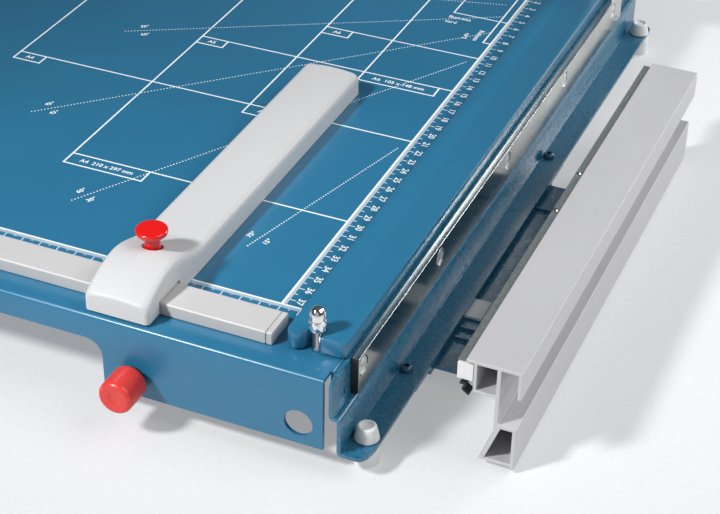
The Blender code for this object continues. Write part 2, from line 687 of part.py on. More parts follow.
def make_acorn_nuts():
    """Domed nuts: a hexagon and a dome fused, with a blind bore for the stud."""
    base, shoulder, cheek, top = ACORN_Z
    bore_top = STUD_Z[1] + GAP
    dome = [(0.0, top), (1.3, top - 0.2), (2.6, top - 0.9), (3.5, top - 2.1), (ACORN_R, cheek),
            (ACORN_R, shoulder - 1.0), (0.0, shoulder - 1.0)]
    middle_z = (base + shoulder) / 2
    x, y = STUD_AT[0]
    blank = add_object("acorn_blank", outline_mesh("acorn", [hexagon(NUT_FLATS)], shoulder - base, "XY"),
                       None, ROOT, (x, y, middle_z))
    soften(blank, 0.5, 1, 60.0)
    fuse(blank, turned("acorn_dome", dome, "+Z", (x, y, 0.0)))
    drill(blank, "+Z", [(x, y, 0.0)], STUD_R + GAP, (base - 1.0, bore_top))
    mesh = evaluated_mesh(blank)
    bpy.data.objects.remove(blank, do_unlink=True)
    repeat("acorn_nut", mesh, [(*at, middle_z) for at in STUD_AT], "bright_steel")


# ------------------------------------------------------------------ guide rails

def box_section(y_range, z_range, inset=0.0):
    (near, far), (low, high) = y_range, z_range
    near, far, low, high = near + inset, far - inset, low + inset, high - inset
    edge = BOX_EDGE if inset == 0.0 else 0.0
    if edge == 0.0:
        return [(near, low), (far, low), (far, high), (near, high)]
    return [(near, low), (far, low), (far, high - edge), (far - edge, high),
            (near + edge, high), (near, high - edge)]


def make_box_rail(name, x_range, y_range, z_range):
    loops = [box_section(y_range, z_range), box_section(y_range, z_range, BOX_WALL)]
    return prism(name, loops, x_range, "YZ", "rail_grey")


def make_rail_caps():
    near, low = NEAR_RAIL_Y[0], NEAR_RAIL_Z[0]
    section = [(y - near, z - low) for y, z in box_section(NEAR_RAIL_Y, NEAR_RAIL_Z)]
    cap = outline_mesh("near_rail_cap", [section], CAP_LENGTH, "YZ")
    offset = GAP + CAP_LENGTH / 2
    ends = (NEAR_RAIL_X[0] - offset, NEAR_RAIL_X[1] + offset)
    repeat("near_rail_cap", cap, [(x, near, low) for x in ends], "rail_grey")


# ------------------------------------------------------------------ backstop

def stop_top(y):
    """Height of the backstop's shoulders along its length."""
    start, crest = STOP_RISE_Y
    if y >= start:
        return STOP_TOP
    if y > crest:
        t = (start - y) / (start - crest)
        return STOP_TOP + (STOP_HUMP - STOP_TOP) * t * t * (3 - 2 * t)
    t = min(1.0, (crest - y) / (crest - STOP_Y[0]))
    return STOP_HUMP - (STOP_HUMP - STOP_BROW_Z) * t ** 1.8


def round_end(distance, radius):
    """How far a rounded corner falls back at this distance from its end."""
    inside = max(0.0, radius - distance)
    return radius - math.sqrt(max(0.0, radius * radius - inside * inside))


def stop_section(y):
    """Section of the backstop at y: flat sides, rounded shoulders and a slightly crowned top."""
    to_end = min(y - STOP_Y[0], STOP_Y[1] - y)
    half = (STOP_X[1] - STOP_X[0]) / 2 - round_end(to_end, STOP_CORNER)
    top = stop_top(y) - round_end(STOP_Y[1] - y, STOP_FAR_EDGE)
    flat = half - STOP_EDGE
    right = arc((flat, top - STOP_EDGE), STOP_EDGE, 0.0, 90.0, 4)
    right.append((flat / 2, top + STOP_CROWN * 0.75))
    left = [(-x, z) for x, z in right[::-1]]
    return [(half, STOP_BELOW)] + right + [(0.0, top + STOP_CROWN)] + left + [(-half, STOP_BELOW)]


def loft(name, stations, section, paint, parent, at):
    """Closed body through one section per station along Y."""
    mesh = bpy.data.meshes.new(name)
    bm = bmesh.new()
    rings = []
    for y in stations:
        rings.append([bm.verts.new((x * MM, (y - at[1]) * MM, (z - at[2]) * MM)) for x, z in section(y)])
    for near, far in zip(rings, rings[1:]):
        for index in range(len(near)):
            after = (index + 1) % len(near)
            bm.faces.new((near[index], near[after], far[after], far[index]))
    bm.faces.new(rings[0])
    bm.faces.new(rings[-1][::-1])
    bmesh.ops.recalc_face_normals(bm, faces=bm.faces)
    bm.to_mesh(mesh)
    bm.free()
    return add_object(name, smooth(mesh), paint, parent, at)


def stop_stations():
    near, far = STOP_Y
    start, crest = STOP_RISE_Y
    corner = [STOP_CORNER * (1 - math.cos(math.radians(90.0 * k / 4))) for k in range(5)]
    stations = [near + step for step in corner]
    fall = crest - stations[-1]
    stations += [stations[-1] + fall * k / 7 for k in range(1, 8)]
    stations += [crest + (start - crest) * k / 8 for k in range(1, 9)]
    return stations + [far - step for step in corner[::-1]]


def make_backstop():
    at = (sum(STOP_X) / 2, STOP_Y[0], 0.0)
    arm = loft("backstop_arm", stop_stations(), stop_section, "stop_grey", BACKSTOP, at)
    cut(arm, prism("backstop_underside", [STOP_UNDERSIDE], (STOP_X[0] - 5, STOP_X[1] + 5), "YZ",
                   None, BACKSTOP))
    place = [(*BUTTON_AT, 0.0)]
    drill(arm, "+Z", place, BUTTON_HOLE_R, (5.0, 30.0), BACKSTOP)
    drill(arm, "+Z", place, BUTTON_RECESS[0], (BUTTON_RECESS[1], 31.0), BACKSTOP, FINE)
    drill(arm, "+Z", place, BUTTON_WELL[0], (-1.0, BUTTON_WELL[1]), BACKSTOP)
    turned("backstop_button", BUTTON_PROFILE, "+Z", place[0], "red", BUTTON, FINE)
    box("brake_shoe", SHOE, "rubber", BUTTON)
    spring = coil_mesh("button_coil", BUTTON_SPRING_R, SPRING_WIRE_R, BUTTON_SPRING_Z, 4)
    add_object("button_spring", smooth(spring), "bright_steel", BACKSTOP, place[0])
    turned("spring_plate", rod_profile(SPRING_PLATE_R, *SPRING_PLATE_Z), "+Z", place[0], "zinc_steel",
           BACKSTOP)


# ------------------------------------------------------------------ narrow-strip stop

def pinion_outline():
    """Straight-flanked spur gear with one gap pointing straight down at rest."""
    pitch_r = MODULE * PINION_TEETH / 2
    outer, root = pitch_r + MODULE, pitch_r - MODULE * 1.25
    step = math.tau / PINION_TEETH
    widths = ((root, 0.30), (outer, 0.13), (outer, -0.13), (root, -0.30))
    points = []
    for tooth in range(PINION_TEETH):
        middle_angle = -math.pi / 2 - step * tooth
        points += [(radius * math.cos(middle_angle - step * share),
                    radius * math.sin(middle_angle - step * share))
                   for radius, share in [(r, -w) for r, w in widths]]
    return points


def rack_outline():
    """Rack whose gap sits under the pinion's lowest tooth."""
    pitch = math.pi * MODULE
    line = KNOB_AT[1] - MODULE * PINION_TEETH / 2
    top, root = line + MODULE * 0.9, line - MODULE * 1.3
    left = KNOB_AT[0] - pitch * (RACK_TEETH_LEFT + 0.5)
    right = KNOB_AT[0] + pitch * (RACK_TEETH_RIGHT + 0.5)
    points = [(left, RACK_BOTTOM), (left, root)]
    for tooth in range(-RACK_TEETH_LEFT, RACK_TEETH_RIGHT):
        centre = KNOB_AT[0] + pitch * (tooth + 0.5)
        points += [(centre - pitch * 0.32, root), (centre - pitch * 0.12, top),
                   (centre + pitch * 0.12, top), (centre + pitch * 0.32, root)]
    return points + [(right, root), (right, RACK_BOTTOM)]


def make_knob():
    at = (KNOB_AT[0], 0.0, KNOB_AT[1])
    near, far = KNOB_Y
    bore = SHAFT_R + GAP
    depth = SHAFT_Y[0] - GAP
    profile = [(0.0, -near), (KNOB_R - KNOB_EDGE, -near), (KNOB_R - KNOB_EDGE * 0.3, -near - KNOB_EDGE * 0.3),
               (KNOB_R, -near - KNOB_EDGE), (KNOB_R, -far), (bore, -far), (bore, -depth), (0.0, -depth)]
    turned("front_knob", profile, "-Y", at, "red", KNOB, FINE)
    turned("knob_shaft", rod_profile(SHAFT_R, -SHAFT_Y[1], -SHAFT_Y[0]), "-Y", at, "zinc_steel", KNOB)
    gear = outline_mesh("pinion", [pinion_outline(), circle(SHAFT_R + GAP)],
                        PINION_Y[1] - PINION_Y[0], "XZ")
    add_object("drive_pinion", gear, "zinc_steel", KNOB, (at[0], sum(PINION_Y) / 2, at[2]))


def make_bush():
    """Flanged bush in the front wall for the knob's shaft."""
    bore = SHAFT_R + 0.1
    flange_r, front, seat = BUSH_FLANGE[0]
    sleeve_r, _, back = BUSH_FLANGE[1]
    profile = [(bore, -front), (flange_r, -front), (flange_r, -seat), (sleeve_r, -seat),
               (sleeve_r, -back), (bore, -back), (bore, -front)]
    turned("shaft_bush", profile, "-Y", (KNOB_AT[0], 0.0, KNOB_AT[1]), "black")


def guide_section(edge_y, outward):
    """Corners shared by both guide parts: the lips, the slot and the back wall."""
    lip = edge_y - outward * (GUIDE_LIP - GUIDE_BACK)
    slot = edge_y + outward * GUIDE_BACK
    back = slot + outward * SHEET
    low, high = GUIDE_Z
    points = [(lip, low), (lip, GUIDE_SLOT_Z[0]), (slot, GUIDE_SLOT_Z[0]), (slot, GUIDE_SLOT_Z[1]),
              (lip, GUIDE_SLOT_Z[1]), (lip, high)]
    return points, lip, slot, back


def make_guide(name, edge_y, outward, screw_y):
    """Cross beam under the tabletop whose lower channel runs out under the rail's flange."""
    points, lip, slot, back = guide_section(edge_y, outward)
    low, high = GUIDE_Z
    top = -SHEET - GAP
    web = points + [(slot, high), (slot, top - SHEET), (lip, top - SHEET), (lip, top), (back, top),
                    (back, low)]
    tab = back + outward * SHOE_TAB
    foot = points + [(tab, high), (tab, high - SHEET), (back, high - SHEET), (back, low)]
    guide = prism(name, [web], BEAM_X, "YZ", "rail_blue")
    fuse(guide, prism(name + "_foot", [foot], SHOE_X, "YZ"))
    drill(guide, "-Y", [(KNOB_AT[0], slot, KNOB_AT[1])], SHAFT_R + GAP, (-5, 5))
    drill(guide, "+Z", [(FLANGE_SCREW_X, screw_y, high - 1)], FLANGE_SHANK_R + GAP, (-4, 4))


def make_guides():
    make_guide("carriage_guide_near", PLATE_Y[0], -1, FLANGE_SCREW_Y[0])
    make_guide("carriage_guide_far", PLATE_Y[1], 1, FLANGE_SCREW_Y[1])
    box("guide_pad", PAD, "aluminium")


def make_carriage():
    plate = box("carriage_plate", (PLATE_X, PLATE_Y, PLATE_Z), "rail_blue", CARRIAGE)
    for number, y in enumerate(RIB_Y):
        rib = (RIB_X, (y - RIB_WIDTH / 2, y + RIB_WIDTH / 2), (PLATE_Z[0] + 1, RIB_TOP))
        fuse(plate, box(f"carriage_rib_{number}", rib, None, CARRIAGE))
    prism("drive_rack", [rack_outline()], RACK_Y, "XZ", "zinc_steel", CARRIAGE)
    prism("stop_bracket", [BRACKET_OUTLINE], BRACKET_Y, "XZ", "rail_blue", CARRIAGE)


def make_strip_stop():
    prism("stop_profile", [PROFILE_OUTLINE] + PROFILE_CELLS, PROFILE_Y, "XZ", "aluminium", CARRIAGE)
    box("stop_insert", INSERT, "white", CARRIAGE)
    strip = box("stop_strip", STRIP, "strip_grey", CARRIAGE)
    radius, low, high = STRIP_SCREW
    head = [(0.0, high), (radius * 0.6, high), (radius, low + 0.3), (radius, low), (0.0, low)]
    mesh = turned_mesh("strip_screw", head, 12)
    places = [(STRIP_SCREW_X, y, 0.0) for y in STRIP_SCREW_Y]
    repeat("strip_screw", mesh, places, "bright_steel", CARRIAGE)
    prism("stop_clip", [bent_sheet(CLIP_PATH, 0.9, 0.8)], CLIP_Y, "XZ", "black", CARRIAGE)
    return strip


# ------------------------------------------------------------------ lever arm

def make_pivot_bracket():
    bracket = box("pivot_bracket", BRACKET_FOOT, "cast_aluminium")
    soften(bracket, 1.2, 2)
    _, pivot_y, pivot_z = PIVOT
    foot = BRACKET_FOOT[2][0] + 1.0
    ear = [(pivot_y - EAR_R, foot), (pivot_y + EAR_R, foot)] + arc((pivot_y, pivot_z), EAR_R, 0.0, 180.0, 12)
    fuse(bracket, prism("bracket_ear", [ear], EAR_X, "YZ"))
    drill(bracket, "+X", [(sum(EAR_X) / 2, pivot_y, pivot_z)], PIVOT_R + GAP, (-8, 8), sides=FINE)
    shank = BRACKET_BOLT_R[1]
    drill(bracket, "+Z", [(*at, 3.0) for at in BRACKET_BOLT_AT], shank + HOLE_PLAY, (-6, 8))
    low, seat, top = BRACKET_BOLT_Z
    head_r = BRACKET_BOLT_R[0]
    profile = [(0.0, top), (head_r - 0.6, top), (head_r, top - 0.6), (head_r, seat), (shank, seat),
               (shank, low), (0.0, low)]
    bolt = turned_mesh("bracket_bolt", profile, ROUND)
    repeat("bracket_bolt", bolt, [(*at, 0.0) for at in BRACKET_BOLT_AT], "zinc_steel")


def make_pivot():
    _, pivot_y, pivot_z = PIVOT
    at = (0.0, pivot_y, pivot_z)
    low, high = PIVOT_HEAD_X
    profile = [(0.0, high), (PIVOT_HEAD_R - 1.5, high), (PIVOT_HEAD_R, high - 1.5), (PIVOT_HEAD_R, low),
               (PIVOT_R, low), (PIVOT_R, PIVOT_END + 1.0), (PIVOT_R - 1.0, PIVOT_END), (0.0, PIVOT_END)]
    turned("pivot_bolt", profile, "+X", at, "bright_steel", sides=FINE)
    ring = ring_profile(WASHER_R, PIVOT_R + GAP, *WASHER_X)
    turned("pivot_washer", ring, "+X", at, "zinc_steel", sides=FINE)
    span = PIVOT_NUT_X
    nut = outline_mesh("pivot_nut", [hexagon(PIVOT_NUT_FLATS), circle(PIVOT_R + GAP)],
                       span[1] - span[0], "YZ")
    add_object("pivot_nut", nut, "zinc_steel", ROOT, (sum(span) / 2, pivot_y, pivot_z))


def blade_edge(share):
    """Height of the closed blade's cutting edge, from its far end to its near end."""
    far, near = BLADE_EDGE_Z
    return far + (near - far) * share - BLADE_BELLY * math.sin(math.pi * share)


def make_arm():
    _, pivot_y, pivot_z = PIVOT
    hub = arc((pivot_y, pivot_z), HUB_R, -110.0, 100.0, 12)
    outline = hub + [(-20.0, ARM_UPPER_Z[0]), (-200.0, ARM_UPPER_Z[0]), (-380.0, ARM_UPPER_Z[1]),
                     (ARM_NEAR_Y, 25.0), (ARM_NEAR_Y, 11.0), (ARM_NEAR_Y + 8, ARM_LOWER_Z),
                     (0.0, ARM_LOWER_Z)]
    arm = prism("blade_arm", [outline], ARM_X, "YZ", "cast_aluminium", ARM)
    soften(arm, ARM_EDGE, 1, 60.0)
    fuse(arm, turned("arm_hub", rod_profile(HUB_R - 1.5, *HUB_X), "+X", (0.0, pivot_y, pivot_z), None,
                     ARM, FINE))
    fuse(arm, box("arm_tang", TANG, None, ARM))
    places = [(0.0, y, BLADE_SCREW_Z) for y in BLADE_SCREW_Y]
    drill(arm, "+X", places, BLADE_SCREW_R[1] + HOLE_PLAY, (-1, 20), ARM)
    drill(arm, "+X", [(0.0, pivot_y, pivot_z)], PIVOT_R + PIVOT_PLAY, (-6, 20), ARM, FINE)
    far, near = BLADE_Y[1], BLADE_Y[0]
    count = 14
    edge = [(far + (near - far) * k / count, blade_edge(k / count)) for k in range(count + 1)]
    outline = edge + [(near, BLADE_TOP_Z[1]), (far - 60.0, BLADE_TOP_Z[0]), (far, BLADE_TOP_Z[0])]
    blade = prism("upper_blade", [outline], BLADE_X, "YZ", "blade_steel", ARM)
    half = (BLADE_X[1] - BLADE_X[0]) / 2
    spine = -outline[0][1]

    def is_grind(a, b):
        return a.x > half - 0.1 and b.x > half - 0.1 and max(a.z, b.z) < spine

    bevel_edges(blade, BLADE_GRIND, 1, is_grind)
    drill(blade, "+X", places, BLADE_SCREW_R[1] + HOLE_PLAY, (-2, 8), ARM)
    low, seat, top = BLADE_SCREW_X
    head, shank = BLADE_SCREW_R
    profile = [(0.0, top), (head - 0.8, top), (head, top - 0.8), (head, seat), (shank, seat),
               (shank, low), (0.0, low)]
    mesh = turned_mesh("blade_screw", profile, ROUND)
    mesh.transform(AXIS_TURN["+X"])
    repeat("blade_screw", mesh, places, "zinc_steel", ARM)


def make_grip():
    near, far = GRIP_Y
    x, z = GRIP_CENTRE
    length = far - near
    profile = [(0.0, length), (GRIP_R - 6.0, length), (GRIP_R - 2.0, length - 2.0),
               (GRIP_R, length - 8.0), (GRIP_R - 1.5, length * 0.5), (GRIP_R - 1.0, 20.0),
               (GRIP_R + 1.0, 4.0), (GRIP_R, 0.0), (0.0, 0.0)]
    grip = turned("handle_grip", profile, "-Y", (x, far, z), "black", ARM, 20)
    slot = [(TANG[0][0] - GAP, TANG[0][1] + GAP), (TANG[1][0] - GAP, far + 1.0),
            (TANG[2][0] - GAP, TANG[2][1] + GAP)]
    cut(grip, box("grip_slot", slot, None, ARM))


def build():
    make_tray()
    make_side_rail()
    make_left_rail()
    make_feet()
    make_knife()
    make_flange_screws()
    make_clamp()
    make_box_rail("near_rail", NEAR_RAIL_X, NEAR_RAIL_Y, NEAR_RAIL_Z)
    make_box_rail("far_fence", FENCE_X, FENCE_Y, FENCE_Z)
    make_rail_caps()
    make_backstop()
    make_knob()
    make_bush()
    make_guides()
    make_carriage()
    make_strip_stop()
    make_pivot_bracket()
    make_pivot()
    make_arm()
    make_grip()


build()
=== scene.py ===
"""Looks of the lever paper cutter: finishes, print and fine pieces around its CAD frame.

Lengths are millimetres in the table frame: X to the right with the cut edge at 0, Y away from the
user with the far stop at 0, Z up with the printed tabletop at 0. place() turns them into the frame.
"""

import json  # noqa: E402
import math  # noqa: E402

import bmesh  # noqa: E402
import bpy  # noqa: E402
from mathutils import Matrix, Vector  # noqa: E402

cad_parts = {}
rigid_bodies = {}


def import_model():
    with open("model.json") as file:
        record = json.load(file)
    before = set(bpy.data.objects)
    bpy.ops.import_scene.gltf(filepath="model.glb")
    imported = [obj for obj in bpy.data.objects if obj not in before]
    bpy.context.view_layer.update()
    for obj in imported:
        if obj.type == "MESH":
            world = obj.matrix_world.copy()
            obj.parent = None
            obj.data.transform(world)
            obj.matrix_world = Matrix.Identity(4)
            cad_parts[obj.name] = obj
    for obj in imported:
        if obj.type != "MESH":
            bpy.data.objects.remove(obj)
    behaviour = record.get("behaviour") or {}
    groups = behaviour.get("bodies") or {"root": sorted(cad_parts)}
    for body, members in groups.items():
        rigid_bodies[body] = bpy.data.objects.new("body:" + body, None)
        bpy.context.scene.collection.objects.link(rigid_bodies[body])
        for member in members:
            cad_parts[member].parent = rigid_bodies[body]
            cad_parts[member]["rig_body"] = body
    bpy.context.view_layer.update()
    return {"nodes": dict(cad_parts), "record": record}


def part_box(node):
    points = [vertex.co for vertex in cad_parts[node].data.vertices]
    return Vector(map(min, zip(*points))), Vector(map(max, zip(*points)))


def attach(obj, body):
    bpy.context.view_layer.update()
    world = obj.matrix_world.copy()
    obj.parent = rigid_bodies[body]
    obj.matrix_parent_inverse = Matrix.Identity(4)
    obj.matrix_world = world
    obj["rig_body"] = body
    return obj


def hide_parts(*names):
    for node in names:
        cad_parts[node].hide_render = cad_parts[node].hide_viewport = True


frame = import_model()

MM = 0.001
FENCE_OFFSET = 0.3             # the far fence stands this far behind the ruler's zero
ORIGIN = Vector((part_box("knife")[1].x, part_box("far_fence")[0].y - FENCE_OFFSET * MM,
                 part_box("base_tray")[1].z))
SLOT_OF = {row["node"]: row["material_slot"] for row in frame["record"]["subparts"]}
SIDES = 64
WELD = 0.002                   # mm: corners this close are one
FLAT_WITHIN = 0.5              # degrees: faces this close to one plane are one
ROUND_FROM = 38.0              # degrees: edges sharper than this get rounded

# camera: place in table millimetres, degrees, lens in millimetres on a 36 mm wide sensor
CAMERA_AT = (244.405, -988.320, 491.115)
CAMERA_AZIMUTH = 22.5925
CAMERA_ELEVATION = 34.2964
CAMERA_ROLL = 1.2123
CAMERA_LENS = 88.972

# light
AIM = (-35.0, -270.0, 0.0)
KEY_FROM = (-0.66, -0.92, 1.0)
KEY_DISTANCE = 1.5
KEY_RADIUS = 0.10
KEY_CONE = 37.0
KEY_POWER = 96.0
# (name, direction, distance in metres, size in metres, watts)
SOFT_LIGHTS = (("side", (0.9, 0.1, 1.0), 1.6, 1.2, 12.5),
               ("rim", (0.50, 0.78, 0.40), 1.3, 0.42, 7.0),
               ("front", (0.15, -1.0, 0.42), 1.64241, 1.3, 2.0))
WORLD_COLOUR = (0.80, 0.90, 1.0)
WORLD_STRENGTH = 0.10
FLOOR_COLOUR = (0.50, 0.50, 0.505)
FLOOR_GLOW = 0.31
FLOOR_REACH = 8.0              # metres

# printed scales and formats
INK_Z = 0.05
STRIPE_Z = 0.04
INK_LIFT = 0.004               # keeps crossing marks apart
BAND_LINE = (-50.9, -49.8)
BAND_STRIPE = (-49.8, -48.1)
BAND_END_Y = -374.2
BAND_NUMBER_X = -42.7
BAND_TICKS = (3.0, 1.7)
NEAR_LINE_Y = -375.0
NEAR_LINE_X = (-357.0, -40.0)
NEAR_TICKS = (5.5, 3.6, 2.4)
NEAR_NUMBER_Y = -384.5
FORMAT_WEIGHT = 0.95
# (width, height) of each paper format, with its corner at the ruler's zero
FORMATS = ((297.0, 210.0), (210.0, 297.0), (210.0, 148.0), (148.0, 210.0), (148.0, 105.0),
           (105.0, 148.0), (85.0, 54.4), (55.2, 84.5))
LONG_BOX = (46.6, 10.0)
SHORT_BOX = (17.2, 8.4)
LONG_LABELS = ((-210.0, -297.0, "A4  210 x 297 mm"), (-148.0, -210.0, "A5  148 x 210 mm"),
               (-105.0, -148.0, "A6  105 x 148 mm"))
SHORT_LABELS = ((-297.0, -210.0, "A4"), (-210.0, -148.0, "A5"), (-148.0, -105.0, "A6"))
ANGLE_CENTRE = (0.0, -15.0)
# (degrees from the near edge, length, distance of its labels, label above, label below)
ANGLES = ((75, 335.0, 325.3, "75°", "15°"), (60, 374.5, 364.4, "60°", "30°"),
          (45, 359.7, 347.1, "45°", "45°"), (30, 294.3, 282.3, "30°", "60°"),
          (15, 262.0, 250.0, "15°", "75°"))
ANGLE_LABEL_ASIDE = 5.2
# a dotted line starts this far from the centre, this far left of the cut, or here if it is steep
ANGLE_CLEAR = (62.0, 56.0, 212.0)
CAP_HEIGHT = {"blade_ruler": 3.5, "near_ruler": 3.4, "formats": 2.9, "angles": 2.7}
CARD_WORDS = ("Business", "card")
CARD_ALONG = ((-86.0, -60.4), (-86.0, -67.0))
CARD_UP = ((-60.8, -84.4), (-67.4, -84.4))
LABEL_DROP = 0.52              # middle of a label's letters, as a part of its box
BOLDER = 0.03                  # how much the letters' outline swells, as a part of their height
TICK = 0.44
NEAR_TICK = 0.4
DOT = (0.75, 1.85)             # side of one dot and the step to the next
CAP_RATIO = 0.69               # capital height of the built-in font for size 1


def place(x, y, z):
    """Table millimetres to a point in the frame."""
    return ORIGIN + Vector((x, y, z)) * MM


# ------------------------------------------------------------------ shader graph helpers

def new_shader(name, roughness, metallic=0.0, specular=0.5, coat=0.0):
    material = bpy.data.materials.new(name)
    material.use_nodes = True
    tree = material.node_tree
    tree.nodes.clear()
    output = tree.nodes.new("ShaderNodeOutputMaterial")
    surface = tree.nodes.new("ShaderNodeBsdfPrincipled")
    tree.links.new(surface.outputs["BSDF"], output.inputs["Surface"])
    surface.inputs["Roughness"].default_value = roughness
    surface.inputs["Metallic"].default_value = metallic
    surface.inputs["Specular IOR Level"].default_value = specular
    surface.inputs["Coat Weight"].default_value = coat
    surface.inputs["Coat Roughness"].default_value = 0.2
    return material, tree, surface


def local_coords(tree, stretch=(1.0, 1.0, 1.0)):
    coords = tree.nodes.new("ShaderNodeTexCoord")
    mapping = tree.nodes.new("ShaderNodeMapping")
    mapping.inputs["Scale"].default_value = stretch
    tree.links.new(coords.outputs["Object"], mapping.inputs["Vector"])
    return mapping.outputs["Vector"]


def noise(tree, vector, scale, detail=3.0, roughness=0.55):
    node = tree.nodes.new("ShaderNodeTexNoise")
    node.inputs["Scale"].default_value = scale
    node.inputs["Detail"].default_value = detail
    node.inputs["Roughness"].default_value = roughness
    tree.links.new(vector, node.inputs["Vector"])
    return node.outputs["Fac"]


def remap(tree, value, source, target):
    node = tree.nodes.new("ShaderNodeMapRange")
    for key, number in zip(("From Min", "From Max", "To Min", "To Max"), (*source, *target)):
        node.inputs[key].default_value = number
    tree.links.new(value, node.inputs["Value"])
    return node.outputs["Result"]


def blend(tree, factor, first, second):
    """Colour between two colours or sockets, by a factor socket."""
    node = tree.nodes.new("ShaderNodeMix")
    node.data_type = "RGBA"
    tree.links.new(factor, node.inputs["Factor"])
    for key, value in (("A", first), ("B", second)):
        socket = [s for s in node.inputs if s.name == key and s.type == "RGBA"][0]
        if isinstance(value, tuple):
            socket.default_value = (*value, 1.0)
        else:
            tree.links.new(value, socket)
    return [s for s in node.outputs if s.type == "RGBA"][0]


def bump(tree, height, strength, distance):
    node = tree.nodes.new("ShaderNodeBump")
    node.inputs["Strength"].default_value = strength
    node.inputs["Distance"].default_value = distance * MM
    tree.links.new(height, node.inputs["Height"])
    return node.outputs["Normal"]


def tint(colour, gain):
    return tuple(min(1.0, c * gain) for c in colour)


def coated(name, colour, roughness, grain, spread=0.1, specular=0.5, coat=0.0, cloud=7.0,
           tone=0.12):
    """Paint or moulded plastic: grain is (scale, strength, depth in mm) of its fine surface.

    spread is how far the colour drifts over cloud's wide patches, tone how dark the grain looks.
    """
    material, tree, surface = new_shader(name, roughness, 0.0, specular, coat)
    coords = local_coords(tree)
    wide = noise(tree, coords, cloud, 2.0)
    fine = noise(tree, coords, grain[0], 3.0, 0.6)
    shade = blend(tree, remap(tree, wide, (0.3, 0.7), (0.0, 1.0)),
                  tint(colour, 1.0 - spread), tint(colour, 1.0 + spread))
    shade = blend(tree, remap(tree, fine, (0.35, 0.65), (0.0, tone)), shade, tint(colour, 0.5))
    tree.links.new(shade, surface.inputs["Base Color"])
    smear = noise(tree, coords, cloud * 4.0, 5.0, 0.65)
    level = remap(tree, smear, (0.3, 0.7), (roughness - 0.05, roughness + 0.07))
    tree.links.new(level, surface.inputs["Roughness"])
    tree.links.new(bump(tree, fine, grain[1], grain[2]), surface.inputs["Normal"])
    return material


def bare_metal(name, colour, roughness, streak, stretch, spread=0.1, metallic=1.0, reflection_patch=None):
    """Bare metal: streak is (scale, strength, depth in mm), stretched along its grain.

    The last argument is (scale, range of the noise, cover, colour) of darker patches painted into
    the colour as reflection.
    """
    material, tree, surface = new_shader(name, roughness, metallic)
    coords = local_coords(tree)
    lines = noise(tree, local_coords(tree, stretch), streak[0], 4.0, 0.65)
    wide = noise(tree, coords, 14.0, 3.0)
    shade = blend(tree, remap(tree, lines, (0.3, 0.7), (0.0, 1.0)),
                  tint(colour, 1.0 - spread), tint(colour, 1.0 + spread))
    if reflection_patch is not None:
        # painted reflection: noise patches darken the colour where the face would mirror dark
        # surroundings
        marks = noise(tree, local_coords(tree, (1.0, 0.35, 1.0)), reflection_patch[0], 3.0, 0.6)
        shade = blend(tree, remap(tree, marks, reflection_patch[1], (0.0, reflection_patch[2])), shade, reflection_patch[3])
    tree.links.new(shade, surface.inputs["Base Color"])
    level = remap(tree, wide, (0.3, 0.7), (roughness - 0.04, roughness + 0.08))
    tree.links.new(level, surface.inputs["Roughness"])
    tree.links.new(bump(tree, lines, streak[1], streak[2]), surface.inputs["Normal"])
    return material


def speckled(name, colour, flecks, roughness):
    """Dark band with paler flecks in it."""
    material, tree, surface = new_shader(name, roughness)
    coords = local_coords(tree, (1.0, 0.45, 1.0))
    spots = noise(tree, coords, 2600.0, 2.0, 0.7)
    shade = blend(tree, remap(tree, spots, (0.42, 0.68), (0.0, 1.0)), colour, flecks)
    tree.links.new(shade, surface.inputs["Base Color"])
    tree.links.new(bump(tree, spots, 0.3, 0.05), surface.inputs["Normal"])
    return material


